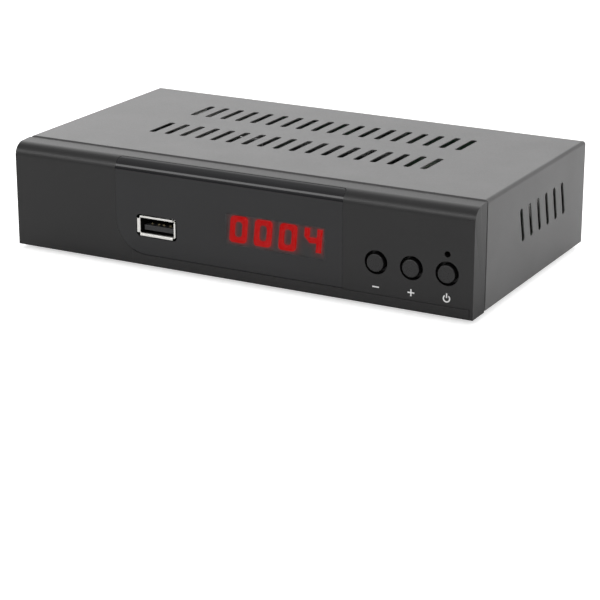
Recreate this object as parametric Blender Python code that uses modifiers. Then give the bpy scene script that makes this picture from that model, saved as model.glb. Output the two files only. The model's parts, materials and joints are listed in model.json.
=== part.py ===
"""Satellite television receiver: a folded steel case with a moulded front, its boards, its sockets
and three push buttons.

The front faces -Y, the top +Z, and the origin lies on the resting surface under the middle of the
whole part. Lengths are metres. Places across are shares of the case's width from its middle,
places back are shares of the cover's depth from the seam where the front meets it, and places up
are shares of the case's height from the underside of the front.
"""
import math

import bmesh
import bpy

# Overall sizes
CASE_WIDTH = 0.168
CASE_HEIGHT = 0.0358
COVER_DEPTH = 0.0821
BEZEL_DEPTH = 0.0093
FOOT_LIFT = 0.0015
SHEET = 0.0008
GAP = 0.0003
OVERRUN = 0.001
MERGE = 0.00001

# Cover: bends, rear flange and vents
BEND_RADIUS = 0.0012
TRAY_LIFT = 0.0004
FLANGE_HEIGHT = 0.008
FLANGE_SLIT = 0.0016
SLOT_WIDTH = 0.0021
SLOT_CORNER = 0.0007
TOP_SLOT_LENGTH_SHARE = 0.176
TOP_SLOT_PITCH_SHARE = 0.03566
TOP_SLOTS = 18
TOP_ROW_SHARES = (0.3716, 0.701)
SIDE_SLOTS = 6
SIDE_SLOT_PITCH_SHARE = 0.0843
SIDE_SLOT_MIDDLE_SHARE = 0.5554
SIDE_SLOT_RISE_SHARE = 0.5737
SIDE_SLOT_LENGTH_SHARE = 0.324
SIDE_SLOT_LEAN = math.radians(14.0)

# Tray: flanges, standoffs and floor vents
TRAY_FRONT = 0.0006
TRAY_FLANGE = 0.007
STANDOFF_RADIUS = 0.003
FLOOR_SLOT_LENGTH_SHARE = 0.2454
FLOOR_SLOT_PITCH = 0.008
FLOOR_SLOTS = 7
FLOOR_ROW_SHARES = (0.3436, 0.6871)

# Feet
FOOT_RADIUS = 0.005
FOOT_INSET_X = 0.014
FOOT_INSET_FRONT = 0.009
FOOT_INSET_REAR = 0.01

# Front: skin, corner and lip
BEZEL_WALL = 0.0024
COVER_PROUD = 0.00035
TOP_SLOPE = math.radians(3.0)
CORNER_RADIUS = 0.0044
END_ROUND = 0.001
LIP_TOP = 0.0033
LIP_FOOT = 0.0005
LIP_PROUD = 0.00035
LIP_SET_IN = 0.0019
LIP_CURL = math.radians(27.0)
TAB_THICKNESS = 0.0015
TAB_WIDTH = 0.01
TAB_REACH = 0.006
TAB_ROOT = 0.004
SIDE_TAB_SHARE = 0.483
HOOK_SHARES = (-0.3, 0.0, 0.3)
BOSS_RADIUS = 0.0025

# Window over the display
WINDOW_LEFT_SHARE = -0.2637
WINDOW_RIGHT_SHARE = 0.2348
WINDOW_THICKNESS = 0.0012
WINDOW_DEPTH = 0.0032
WINDOW_CORNER = 0.0114

# Buttons, their switches and the lamp
BUTTON_SHARES = (0.3042, 0.3762, 0.4476)
BUTTON_RISE_SHARE = 0.384
BUTTON_HOLE_RADIUS = 0.0039
BUTTON_RADIUS = 0.0032
BUTTON_PROUD = 0.0008
BUTTON_RIM = 0.0004
BUTTON_FLANGE_RADIUS = 0.0046
BUTTON_FLANGE = 0.0008
BUTTON_TRAVEL = 0.0004
PLUNGER_RADIUS = 0.0017
PLUNGER_PROUD = 0.001
PLUNGER_INSIDE = 0.0006
SWITCH_SIDE = 0.006
LAMP_RISE = 0.0062
LAMP_HOLE_RADIUS = 0.001
LAMP_RADIUS = 0.0015

# Display and remote control eye
DISPLAY_SHARE = 0.0875
DISPLAY_RISE_SHARE = 0.475
DIGIT_PITCH_SHARE = 0.0534
DIGIT_TEXT = "0004"
DIGIT_HEIGHT = 0.0094
DIGIT_WIDTH = 0.0062
SEGMENT_WIDTH = 0.0013
SEGMENT_PROUD = 0.0002
WEB_THICKNESS = 0.0002
WEB_WIDTH = 0.0006
MODULE_SIDE_MARGIN = 0.0023
MODULE_TOP_MARGIN = 0.0018
EYE_SHARE = -0.0625
EYE_WIDTH = 0.0055
EYE_HEIGHT = 0.007
HOUSING_EDGE = 0.0004

# Boards
BOARD_THICKNESS = 0.0016
FRONT_BOARD_LEFT_SHARE = -0.0893
FRONT_BOARD_SIDE_CLEARANCE = 0.004
FRONT_BOARD_LOW = 0.0035
FRONT_BOARD_TOP_CLEARANCE = 0.0057
FRONT_BOARD_SET_IN = 0.0002
FRONT_SCREW_SHARES = ((-0.0655, 0.767), (0.4554, 0.7528), (0.2571, 0.33))
FRONT_SCREW_RADIUS = 0.001
FRONT_SCREW_HEAD = 0.0022
FRONT_SCREW_HEAD_HEIGHT = 0.0013
FRONT_SCREW_LENGTH = 0.0055
BOARD_LEFT_CLEARANCE = 0.018
BOARD_RIGHT_CLEARANCE = 0.0045
BOARD_FRONT = 0.002
BOARD_REAR_CLEARANCE = 0.0013
BOARD_SCREW_INSET = 0.0053
BOARD_SCREW_SHARE = 0.2381
BOARD_SCREW_ROW_SHARES = (0.098, 0.89)
SCREW_RADIUS = 0.0013
SCREW_HEAD_RADIUS = 0.0026
SCREW_HEAD_HEIGHT = 0.0016
SCREW_HEAD_EDGE = 0.0004
SCREW_LENGTH = 0.0055
COVER_SCREW_SHARES = (-0.357, 0.0, 0.357)
COVER_SCREW_DROP = 0.0045
COVER_SCREW_LENGTH = 0.005

# USB socket in the front
USB_SHARE = -0.171
USB_RISE_SHARE = 0.3757
USB_SHELL_WIDTH = 0.0131
USB_SHELL_HEIGHT = 0.0057
USB_SHELL_LENGTH = 0.014
USB_SHELL_WALL = 0.00035
USB_FLARE_SIDE = 0.0008
USB_FLARE_TOP = 0.0006
USB_MOUTH_DEPTH = 0.001
USB_MOUTH_PROUD = 0.0002
USB_MOUTH_SLIT = 0.0009
USB_OPENING_CORNER = 0.0012
USB_TONGUE_MARGIN = 0.00065
USB_TONGUE_HEIGHT = 0.0018
USB_TONGUE_RISE = 0.0004
USB_TONGUE_SET_BACK = 0.0016
USB_TONGUE_ROOT = 0.003
USB_BOARD_MARGIN = 0.0045
USB_OVERHANG = 0.004

# Headers and ribbon cable between the boards
HEADER_SHARE = 0.0655
HEADER_WIDTH = 0.01
HEADER_DEPTH = 0.0038
HEADER_HEIGHT = 0.004
FRONT_HEADER_RISE_SHARE = 0.5114
MAIN_HEADER_FROM_SEAM = 0.0108
RIBBON_WIDTH = 0.008
RIBBON_THICKNESS = 0.0007

# Rear sockets
TUNER_SHARE = 0.369
TUNER_WIDTH_SHARE = 0.1905
TUNER_DEPTH_SHARE = 0.4172
TUNER_HEIGHT = 0.012
TUNER_BACK_CLEARANCE = 0.0014
TUNER_EDGE = 0.0006
AERIAL_SHARES = (0.3214, 0.4167)
AERIAL_RISE = 0.0065
AERIAL_RADIUS = 0.0047
AERIAL_EDGE = 0.0004
AERIAL_REACH = 0.0095
AERIAL_BORE_RADIUS = 0.0006
AERIAL_BORE_DEPTH = 0.004
AERIAL_COLLAR_RADIUS = 0.0058
AERIAL_COLLAR = 0.0008
HDMI_SHARE = 0.1607
HDMI_WIDTH = 0.0149
HDMI_HEIGHT = 0.0059
HDMI_CHAMFER = 0.0016
HDMI_DEPTH = 0.0115
HDMI_WALL = 0.0004
HDMI_REACH = 0.0006
HDMI_TONGUE_MARGIN = 0.00155
HDMI_TONGUE_HEIGHT = 0.0014
HDMI_TONGUE_SET_BACK = 0.0012
HDMI_TONGUE_ROOT = 0.003
PHONO_SHARES = (0.0476, -0.0298, -0.1071)
PHONO_NAMES = ("video", "audio_left", "audio_right")
PHONO_RISE = 0.0068
PHONO_RADIUS = 0.00415
PHONO_WALL = 0.0004
PHONO_REACH = 0.0088
PHONO_INSERT_SET_BACK = 0.0006
PHONO_BORE_RADIUS = 0.0016
PHONO_BORE_DEPTH = 0.008
PHONO_BLOCK_MARGIN = 0.0075
PHONO_BLOCK_HEIGHT = 0.0125
PHONO_BLOCK_DEPTH = 0.009
POWER_SHARE = -0.2619
POWER_WIDTH = 0.009
POWER_HEIGHT = 0.0108
POWER_DEPTH = 0.0135
POWER_REACH = 0.0006
POWER_BORE_DROP = 0.0044
POWER_BORE_RADIUS = 0.003
POWER_BORE_DEPTH = 0.0095
POWER_PIN_RADIUS = 0.001
POWER_PIN_LENGTH = 0.0085

# Parts on the main board: shares across and back, then sizes
CHIP_SHARES = (-0.0298, 0.4908)
CHIP_SIDE = 0.02
CHIP_HEIGHT = 0.0016
SINK_MARGIN = 0.001
SINK_BASE = 0.002
SINK_HEIGHT = 0.008
SINK_FINS = 6
SINK_FIN = 0.0012
MEMORY_SHARES = (0.125, 0.3804)
MEMORY_WIDTH = 0.009
MEMORY_DEPTH = 0.0125
MEMORY_HEIGHT = 0.0012
BIG_CAPACITOR_SHARES = (-0.2857, 0.638)
BIG_CAPACITOR_RADIUS = 0.004
BIG_CAPACITOR_HEIGHT = 0.0115
SMALL_CAPACITOR_SHARES = (-0.2143, 0.638)
SMALL_CAPACITOR_RADIUS = 0.00315
SMALL_CAPACITOR_HEIGHT = 0.009

# How finely round shapes are cut
ARC_STEPS = 6
CORNER_STEPS = 1
ROUND_SIDES = 24
SMALL_SIDES = 12

# Places and planes worked out from the sizes
HALF_WIDTH = CASE_WIDTH / 2
WINDOW_LEFT = WINDOW_LEFT_SHARE * CASE_WIDTH
WINDOW_RIGHT = WINDOW_RIGHT_SHARE * CASE_WIDTH
LIP_RIGHT = HALF_WIDTH - LIP_SET_IN
BUTTON_PLACES_X = [share * CASE_WIDTH for share in BUTTON_SHARES]
HOOK_PLACES_X = [share * CASE_WIDTH for share in HOOK_SHARES]
COVER_SCREW_PLACES_X = [share * CASE_WIDTH for share in COVER_SCREW_SHARES]
AERIAL_PLACES_X = [share * CASE_WIDTH for share in AERIAL_SHARES]
PHONO_PLACES_X = [share * CASE_WIDTH for share in PHONO_SHARES]
USB_PLACE_X = USB_SHARE * CASE_WIDTH
EYE_PLACE_X = EYE_SHARE * CASE_WIDTH
DISPLAY_PLACE_X = DISPLAY_SHARE * CASE_WIDTH
DIGIT_PITCH = DIGIT_PITCH_SHARE * CASE_WIDTH
HEADER_PLACE_X = HEADER_SHARE * CASE_WIDTH
TUNER_PLACE_X = TUNER_SHARE * CASE_WIDTH
HDMI_PLACE_X = HDMI_SHARE * CASE_WIDTH
POWER_PLACE_X = POWER_SHARE * CASE_WIDTH
MODULE_WIDTH = (len(DIGIT_TEXT) - 1) * DIGIT_PITCH + DIGIT_WIDTH + 2 * MODULE_SIDE_MARGIN
MODULE_HEIGHT = DIGIT_HEIGHT + 2 * MODULE_TOP_MARGIN
FRONT_BOARD_LEFT = FRONT_BOARD_LEFT_SHARE * CASE_WIDTH
FRONT_BOARD_RIGHT = HALF_WIDTH - FRONT_BOARD_SIDE_CLEARANCE
FRONT_SCREW_PLACES = [(across * CASE_WIDTH, up * CASE_HEIGHT) for across, up in FRONT_SCREW_SHARES]
BOARD_LEFT = BOARD_LEFT_CLEARANCE - HALF_WIDTH
BOARD_RIGHT = HALF_WIDTH - BOARD_RIGHT_CLEARANCE
BOARD_SCREW_ROWS = [share * COVER_DEPTH for share in BOARD_SCREW_ROW_SHARES]
WHOLE_DEPTH = BUTTON_PROUD + BEZEL_DEPTH + COVER_DEPTH - SHEET - GAP + AERIAL_REACH
SEAM_Y = BUTTON_PROUD + BEZEL_DEPTH - WHOLE_DEPTH / 2
FACE_Y = SEAM_Y - BEZEL_DEPTH
WALL_BACK_Y = FACE_Y + BEZEL_WALL
REAR_Y = SEAM_Y + COVER_DEPTH
PANEL_BACK_Y = REAR_Y - SHEET - GAP
PANEL_FRONT_Y = PANEL_BACK_Y - SHEET
BASE_Z = FOOT_LIFT
TOP_Z = BASE_Z + CASE_HEIGHT
TRAY_Z = BASE_Z + TRAY_LIFT
TRAY_FLOOR_Z = TRAY_Z + SHEET
TRAY_HALF = HALF_WIDTH - SHEET - GAP
USB_Z = BASE_Z + USB_RISE_SHARE * CASE_HEIGHT
USB_MOUTH_WIDTH = USB_SHELL_WIDTH + 2 * USB_FLARE_SIDE
USB_MOUTH_HEIGHT = USB_SHELL_HEIGHT + 2 * USB_FLARE_TOP
USB_BORE_WIDTH = USB_SHELL_WIDTH - 2 * USB_SHELL_WALL
USB_BORE_HEIGHT = USB_SHELL_HEIGHT - 2 * USB_SHELL_WALL
USB_TONGUE_WIDTH = USB_BORE_WIDTH - 2 * USB_TONGUE_MARGIN
HDMI_TONGUE_WIDTH = HDMI_WIDTH - 2 * HDMI_WALL - 2 * HDMI_TONGUE_MARGIN
SINK_SIDE = CHIP_SIDE + 2 * SINK_MARGIN
POWER_RISE = POWER_HEIGHT - POWER_BORE_DROP
BOARD_TOP_Z = USB_Z - USB_SHELL_HEIGHT / 2 - GAP
BOARD_LOW_Z = BOARD_TOP_Z - BOARD_THICKNESS
ON_BOARD_Z = BOARD_TOP_Z + GAP
BOARD_BACK_Y = PANEL_FRONT_Y - BOARD_REAR_CLEARANCE
BUTTON_Z = BASE_Z + BUTTON_RISE_SHARE * CASE_HEIGHT
LAMP_Z = BUTTON_Z + LAMP_RISE
BUTTON_FLANGE_Y = WALL_BACK_Y + GAP
PLUNGER_Y = BUTTON_FLANGE_Y + BUTTON_FLANGE + GAP
SWITCH_Y = PLUNGER_Y + PLUNGER_PROUD
FRONT_BOARD_BACK_Y = SEAM_Y - FRONT_BOARD_SET_IN
FRONT_BOARD_Y = FRONT_BOARD_BACK_Y - BOARD_THICKNESS
SWITCH_DEPTH = FRONT_BOARD_Y - GAP - SWITCH_Y
DIGIT_Z = BASE_Z + DISPLAY_RISE_SHARE * CASE_HEIGHT
DIGIT_Y = FACE_Y + WINDOW_THICKNESS + GAP
MODULE_Y = DIGIT_Y + SEGMENT_PROUD + WEB_THICKNESS + GAP
FLANGE_Z = TOP_Z - FLANGE_HEIGHT
COVER_SCREW_Z = TOP_Z - COVER_SCREW_DROP
USB_FRONT_Y = FACE_Y - USB_MOUTH_PROUD

# Colour, roughness and metal of each material
FINISHES = {
    "cover_paint": ((0.070, 0.070, 0.072), 0.55, 0.0),
    "front_plastic": ((0.016, 0.016, 0.017), 0.42, 0.0),
    "window_plastic": ((0.012, 0.012, 0.013), 0.20, 0.0),
    "button_plastic": ((0.022, 0.022, 0.023), 0.40, 0.0),
    "rubber": ((0.020, 0.020, 0.020), 0.85, 0.0),
    "plated_steel": ((0.62, 0.62, 0.60), 0.32, 1.0),
    "nickel": ((0.66, 0.64, 0.60), 0.22, 1.0),
    "screw_steel": ((0.10, 0.10, 0.11), 0.40, 1.0),
    "green_board": ((0.020, 0.110, 0.045), 0.45, 0.0),
    "black_plastic": ((0.020, 0.020, 0.021), 0.50, 0.0),
    "white_plastic": ((0.72, 0.72, 0.70), 0.45, 0.0),
    "yellow_plastic": ((0.80, 0.55, 0.02), 0.40, 0.0),
    "red_plastic": ((0.60, 0.02, 0.02), 0.40, 0.0),
    "red_light": ((0.50, 0.02, 0.015), 0.40, 0.0),
    "lamp_plastic": ((0.35, 0.03, 0.03), 0.15, 0.0),
    "ribbon_grey": ((0.45, 0.46, 0.48), 0.50, 0.0),
    "chip_resin": ((0.025, 0.025, 0.026), 0.60, 0.0),
    "sink_metal": ((0.50, 0.51, 0.53), 0.35, 1.0),
    "capacitor_sleeve": ((0.03, 0.04, 0.10), 0.35, 0.0),
}
FACING = {"up": 0.0, "front": math.pi / 2, "back": -math.pi / 2}


def clear_scene():
    """Removes whatever the open file holds."""
    for ob in list(bpy.data.objects):
        bpy.data.objects.remove(ob, do_unlink=True)


def new_collection(name):
    """Makes a collection in the scene."""
    made = bpy.data.collections.new(name)
    bpy.context.scene.collection.children.link(made)
    return made


def material(name):
    """Returns the named Principled material, made once."""
    found = bpy.data.materials.get(name)
    if found:
        return found
    colour, roughness, metallic = FINISHES[name]
    made = bpy.data.materials.new(name)
    made.use_nodes = True
    shader = made.node_tree.nodes["Principled BSDF"]
    shader.inputs["Base Color"].default_value = (*colour, 1.0)
    shader.inputs["Roughness"].default_value = roughness
    shader.inputs["Metallic"].default_value = metallic
    made.diffuse_color = (*colour, 1.0)
    return made


def add_object(name, mesh):
    """Puts a mesh in the parts collection as an object."""
    ob = bpy.data.objects.new(name, mesh)
    PARTS.objects.link(ob)
    return ob


def as_guide(ob):
    """Turns an object into a cutter or guide that isn't a part."""
    for holder in list(ob.users_collection):
        holder.objects.unlink(ob)
    CUTTERS.objects.link(ob)
    ob.hide_render = True
    ob.display_type = "WIRE"
    return ob


def shape(target, tool, operation):
    """Adds one exact Boolean to the target and files the tool with the cutters."""
    step = target.modifiers.new(tool.name, "BOOLEAN")
    step.operation = operation
    step.solver = "EXACT"
    step.object = as_guide(tool)
    return target


def cut(target, tool):
    """Takes the tool's volume out of the target."""
    return shape(target, tool, "DIFFERENCE")


def join(target, tool):
    """Adds the tool's volume to the target."""
    return shape(target, tool, "UNION")


def keep(target, tool):
    """Keeps what the target shares with the tool."""
    return shape(target, tool, "INTERSECT")


def finish(ob, look, parent=None):
    """Gives a part its material and its parent, which defaults to the case's empty."""
    ob.data.materials.clear()
    ob.data.materials.append(material(look))
    ob.parent = parent or CASE
    return ob


def box(name, low, high):
    """Makes a box between two corners."""
    mesh = bpy.data.meshes.new(name)
    bm = bmesh.new()
    bmesh.ops.create_cube(bm, size=1.0)
    for v in bm.verts:
        v.co = [(a + b) / 2 + (b - a) * c for a, b, c in zip(low, high, v.co)]
    bm.to_mesh(mesh)
    bm.free()
    return add_object(name, mesh)


def block(name, centre_x, width, front, depth, low, height):
    """Makes a box from its middle across, its front and its underside."""
    half = width / 2
    return box(name, (centre_x - half, front, low), (centre_x + half, front + depth, low + height))


def extruded(name, outlines, start, end, axis):
    """Extrudes closed outlines along an axis: (y, z) along X, (x, z) along Y or (x, y) along Z."""
    curve = bpy.data.curves.new(name, "CURVE")
    curve.dimensions = "2D"
    curve.fill_mode = "BOTH"
    curve.extrude = (end - start) / 2
    for outline in outlines:
        spline = curve.splines.new("POLY")
        spline.points.add(len(outline) - 1)
        for point, (u, v) in zip(spline.points, outline):
            point.co = (u, v, 0.0, 1.0)
        spline.use_cyclic_u = True
    drawn = bpy.data.objects.new(name, curve)
    PARTS.objects.link(drawn)
    middle = (start + end) / 2
    if axis == "X":
        drawn.rotation_euler = (math.pi / 2, 0.0, math.pi / 2)
        drawn.location = (middle, 0.0, 0.0)
    elif axis == "Y":
        drawn.rotation_euler = (math.pi / 2, 0.0, 0.0)
        drawn.location = (0.0, middle, 0.0)
    else:
        drawn.location = (0.0, 0.0, middle)
    bpy.context.view_layer.update()
    seen = drawn.evaluated_get(bpy.context.evaluated_depsgraph_get())
    mesh = bpy.data.meshes.new_from_object(seen)
    mesh.transform(drawn.matrix_world)
    bpy.data.objects.remove(drawn)
    bpy.data.curves.remove(curve)
    bm = bmesh.new()
    bm.from_mesh(mesh)
    bmesh.ops.remove_doubles(bm, verts=bm.verts, dist=MERGE)
    bmesh.ops.recalc_face_normals(bm, faces=bm.faces)
    bm.to_mesh(mesh)
    bm.free()
    mesh.name = name
    return add_object(name, mesh)


def turned(name, profile, place, facing, sides=ROUND_SIDES, closed=False):
    """Turns a (radius, height) profile, which runs down its outer side, about an axis."""
    mesh = bpy.data.meshes.new(name)
    edges = [(i, i + 1) for i in range(len(profile) - 1)]
    if closed:
        edges.append((len(profile) - 1, 0))
    mesh.from_pydata([(radius, 0.0, height) for radius, height in profile], edges, [])
    ob = add_object(name, mesh)
    ob.location = place
    ob.rotation_euler = (FACING[facing], 0.0, 0.0)
    spin = ob.modifiers.new("Turn", "SCREW")
    spin.steps = sides
    spin.render_steps = sides
    spin.use_merge_vertices = True
    spin.merge_threshold = MERGE
    spin.use_smooth_shade = False
    return ob


def rod(name, radius, place, facing, low, high, sides=ROUND_SIDES):
    """Makes a plain cylinder along an axis, from low to high."""
    return turned(name, [(0.0, high), (radius, high), (radius, low), (0.0, low)], place, facing, sides)


def circle(u, v, radius, sides=ROUND_SIDES):
    """Points of a circle."""
    turns = [2 * math.pi * i / sides for i in range(sides)]
    return [(u + radius * math.cos(t), v + radius * math.sin(t)) for t in turns]


def arc(u, v, radius, start, end, steps=ARC_STEPS):
    """Points of an arc, both ends included."""
    turns = [start + (end - start) * i / steps for i in range(steps + 1)]
    return [(u + radius * math.cos(t), v + radius * math.sin(t)) for t in turns]


def rectangle(u, v, width, height):
    """Corners of a rectangle about its middle."""
    a, b = width / 2, height / 2
    return [(u - a, v - b), (u + a, v - b), (u + a, v + b), (u - a, v + b)]


def rounded(u, v, width, height, radius, lean=0.0):
    """Outline of a rectangle with round corners, leant over by an angle."""
    a, b = width / 2 - radius, height / 2 - radius
    points = []
    for sign_u, sign_v, start in ((1, 1, 0.0), (-1, 1, 0.5), (-1, -1, 1.0), (1, -1, 1.5)):
        begin = start * math.pi
        points += arc(sign_u * a, sign_v * b, radius, begin, begin + math.pi / 2, CORNER_STEPS)
    c, s = math.cos(lean), math.sin(lean)
    return [(u + c * p + s * q, v - s * p + c * q) for p, q in points]


def weigh_edges(ob, chosen):
    """Marks the edges whose two ends satisfy a test, for a weighted Bevel."""
    weights = ob.data.attributes.new("bevel_weight_edge", "FLOAT", "EDGE")
    for edge in ob.data.edges:
        first, second = (ob.data.vertices[i].co for i in edge.vertices)
        weights.data[edge.index].value = 1.0 if chosen(first, second) else 0.0


def bevel(ob, width, segments=2, weighted=False):
    """Rounds an object's edges."""
    step = ob.modifiers.new("Round", "BEVEL")
    step.width = width
    step.segments = segments
    step.limit_method = "WEIGHT" if weighted else "ANGLE"
    return ob


def spread(count, pitch):
    """Places of a row of equal steps about the middle."""
    return [(i - (count - 1) / 2) * pitch for i in range(count)]


def folded_box(name, low, high, radius, rear_bend=False):
    """Makes a box whose two long top edges, and its rear top edge if asked, are bent to a radius."""
    ob = box(name, low, high)

    def bent(a, b):
        on_top = min(a.z, b.z) > high[2] - MERGE
        at_rear = rear_bend and min(a.y, b.y) > high[1] - MERGE
        return on_top and (abs(a.x - b.x) < MERGE or at_rear)

    weigh_edges(ob, bent)
    return bevel(ob, radius, weighted=True)


def make_cover():
    """The folded steel cover: top, two sides and a flange down the back, with its vents."""
    half = HALF_WIDTH
    front = SEAM_Y + GAP
    cover = folded_box("top_cover", (-half, front, TRAY_Z), (half, REAR_Y, TOP_Z), BEND_RADIUS, True)
    low = (-half + SHEET, front - OVERRUN, TRAY_Z - OVERRUN)
    high = (half - SHEET, REAR_Y - SHEET, TOP_Z - SHEET)
    cut(cover, folded_box("cover_inside", low, high, BEND_RADIUS - SHEET))
    wide, narrow = half - SHEET - GAP, half - SHEET - FLANGE_SLIT
    slit_z, below = TOP_Z - BEND_RADIUS, TRAY_Z - OVERRUN
    arch = [(-wide, below), (wide, below), (wide, slit_z), (narrow, slit_z), (narrow, FLANGE_Z)]
    arch += [(-narrow, FLANGE_Z), (-narrow, slit_z), (-wide, slit_z)]
    cut(cover, extruded("cover_back_opening", [arch], REAR_Y - SHEET - OVERRUN, REAR_Y + OVERRUN, "Y"))
    length = TOP_SLOT_LENGTH_SHARE * COVER_DEPTH
    top = [
        rounded(x, SEAM_Y + share * COVER_DEPTH, SLOT_WIDTH, length, SLOT_CORNER)
        for share in TOP_ROW_SHARES
        for x in spread(TOP_SLOTS, TOP_SLOT_PITCH_SHARE * CASE_WIDTH)
    ]
    cut(cover, extruded("top_slots", top, TOP_Z - SHEET - OVERRUN, TOP_Z + OVERRUN, "Z"))
    middle = SEAM_Y + SIDE_SLOT_MIDDLE_SHARE * COVER_DEPTH
    z = BASE_Z + SIDE_SLOT_RISE_SHARE * CASE_HEIGHT
    length = SIDE_SLOT_LENGTH_SHARE * CASE_HEIGHT
    side = [
        rounded(middle + y, z, SLOT_WIDTH, length, SLOT_CORNER, -SIDE_SLOT_LEAN)
        for y in spread(SIDE_SLOTS, SIDE_SLOT_PITCH_SHARE * COVER_DEPTH)
    ]
    cut(cover, extruded("side_slots", side, -half - OVERRUN, half + OVERRUN, "X"))
    holes = [circle(x, COVER_SCREW_Z, SCREW_RADIUS + GAP, SMALL_SIDES) for x in COVER_SCREW_PLACES_X]
    cut(cover, extruded("cover_screw_holes", holes, REAR_Y - SHEET - OVERRUN, REAR_Y + OVERRUN, "Y"))
    finish(cover, "cover_paint")


def make_cover_screws():
    """The three screws that hold the cover's flange to the rear panel."""
    for place, x in zip(("left", "middle", "right"), COVER_SCREW_PLACES_X):
        head = [(0.0, SCREW_HEAD_HEIGHT), (SCREW_HEAD_RADIUS - SCREW_HEAD_EDGE, SCREW_HEAD_HEIGHT)]
        head += [(SCREW_HEAD_RADIUS, SCREW_HEAD_HEIGHT - SCREW_HEAD_EDGE), (SCREW_HEAD_RADIUS, 0.0)]
        shank = [(SCREW_RADIUS, 0.0), (SCREW_RADIUS, -COVER_SCREW_LENGTH), (0.0, -COVER_SCREW_LENGTH)]
        where = (x, REAR_Y + GAP, COVER_SCREW_Z)
        finish(turned(f"cover_screw_{place}", head + shank, where, "back", SMALL_SIDES), "screw_steel")


def panel_openings():
    """Outlines (x, z) of the holes in the rear panel."""
    holes = [circle(x, COVER_SCREW_Z, SCREW_RADIUS + GAP, SMALL_SIDES) for x in COVER_SCREW_PLACES_X]
    holes += [circle(x, ON_BOARD_Z + AERIAL_RISE, AERIAL_RADIUS + GAP) for x in AERIAL_PLACES_X]
    holes += [circle(x, ON_BOARD_Z + PHONO_RISE, PHONO_RADIUS + GAP) for x in PHONO_PLACES_X]
    margin = 2 * GAP
    z = ON_BOARD_Z + HDMI_HEIGHT / 2
    holes.append(rectangle(HDMI_PLACE_X, z, HDMI_WIDTH + margin, HDMI_HEIGHT + margin))
    z = ON_BOARD_Z + POWER_HEIGHT / 2
    holes.append(rectangle(POWER_PLACE_X, z, POWER_WIDTH + margin, POWER_HEIGHT + margin))
    return holes


def board_screw_places():
    """Places (x, y) of the main board's four screws."""
    front, rear = (SEAM_Y + row for row in BOARD_SCREW_ROWS)
    left, right = BOARD_LEFT + BOARD_SCREW_INSET, BOARD_RIGHT - BOARD_SCREW_INSET
    return [(left, front), (right, front), (left, rear), (BOARD_SCREW_SHARE * CASE_WIDTH, rear)]


def make_tray():
    """The steel tray: floor, low front and side flanges, the rear panel and the standoffs."""
    front, flange_z = SEAM_Y + TRAY_FRONT, TRAY_Z + TRAY_FLANGE
    panel_z = TOP_Z - SHEET - GAP
    outline = [(front, TRAY_Z), (PANEL_BACK_Y, TRAY_Z), (PANEL_BACK_Y, panel_z), (PANEL_FRONT_Y, panel_z)]
    outline += [(PANEL_FRONT_Y, TRAY_FLOOR_Z), (front + SHEET, TRAY_FLOOR_Z)]
    outline += [(front + SHEET, flange_z), (front, flange_z)]
    tray = extruded("chassis_tray", [outline], -TRAY_HALF, TRAY_HALF, "X")
    for name, inner in (("left", -TRAY_HALF), ("right", TRAY_HALF - SHEET)):
        low, high = (inner, front + GAP, TRAY_Z + GAP), (inner + SHEET, PANEL_FRONT_Y + GAP, flange_z - GAP)
        join(tray, box(f"tray_{name}_flange", low, high))
    places = board_screw_places()
    posts = [circle(x, y, STANDOFF_RADIUS, SMALL_SIDES) for x, y in places]
    join(tray, extruded("standoffs", posts, TRAY_Z + GAP, BOARD_LOW_Z - GAP, "Z"))
    bores = [circle(x, y, SCREW_RADIUS + GAP, SMALL_SIDES) for x, y in places]
    cut(tray, extruded("standoff_bores", bores, TRAY_Z - OVERRUN, BOARD_LOW_Z, "Z"))
    length = FLOOR_SLOT_LENGTH_SHARE * COVER_DEPTH
    vents = [
        rounded(x, SEAM_Y + share * COVER_DEPTH, SLOT_WIDTH, length, SLOT_CORNER)
        for share in FLOOR_ROW_SHARES
        for x in spread(FLOOR_SLOTS, FLOOR_SLOT_PITCH)
    ]
    cut(tray, extruded("floor_slots", vents, TRAY_Z - OVERRUN, TRAY_FLOOR_Z + OVERRUN, "Z"))
    back = (PANEL_FRONT_Y - OVERRUN, PANEL_BACK_Y + OVERRUN)
    cut(tray, extruded("rear_holes", panel_openings(), back[0], back[1], "Y"))
    hook_z = TRAY_FLOOR_Z + GAP + TAB_THICKNESS / 2
    hooks = [rectangle(x, hook_z, TAB_WIDTH + 2 * GAP, TAB_THICKNESS + 2 * GAP) for x in HOOK_PLACES_X]
    cut(tray, extruded("hook_slots", hooks, front - OVERRUN, front + SHEET + OVERRUN, "Y"))
    finish(tray, "plated_steel")


def make_feet():
    """The four rubber feet under the tray."""
    top = TRAY_Z - GAP
    rows = (("front", SEAM_Y + FOOT_INSET_FRONT), ("rear", REAR_Y - FOOT_INSET_REAR))
    for row, y in rows:
        for side, x in (("left", FOOT_INSET_X - HALF_WIDTH), ("right", HALF_WIDTH - FOOT_INSET_X)):
            foot = rod(f"foot_{row}_{side}", FOOT_RADIUS, (x, y, 0.0), "up", 0.0, top)
            finish(foot, "rubber")


def bezel_profile(inset, back):
    """Side outline (y, z) of the front, drawn in by inset and run back to y = back."""
    radius, rise = CORNER_RADIUS, math.sin(TOP_SLOPE)
    seam_z = TOP_Z - COVER_PROUD
    centre_y = FACE_Y + radius
    centre_z = seam_z + (rise * (centre_y - SEAM_Y) - radius) / math.cos(TOP_SLOPE)
    top_z = seam_z + (rise * (back - SEAM_Y) - inset) / math.cos(TOP_SLOPE)
    low = BASE_Z + inset
    corner = arc(centre_y, centre_z, radius - inset, math.pi, math.pi / 2 + TOP_SLOPE)
    return [(back, low), (FACE_Y + inset, low)] + corner + [(back, top_z)]


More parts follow.
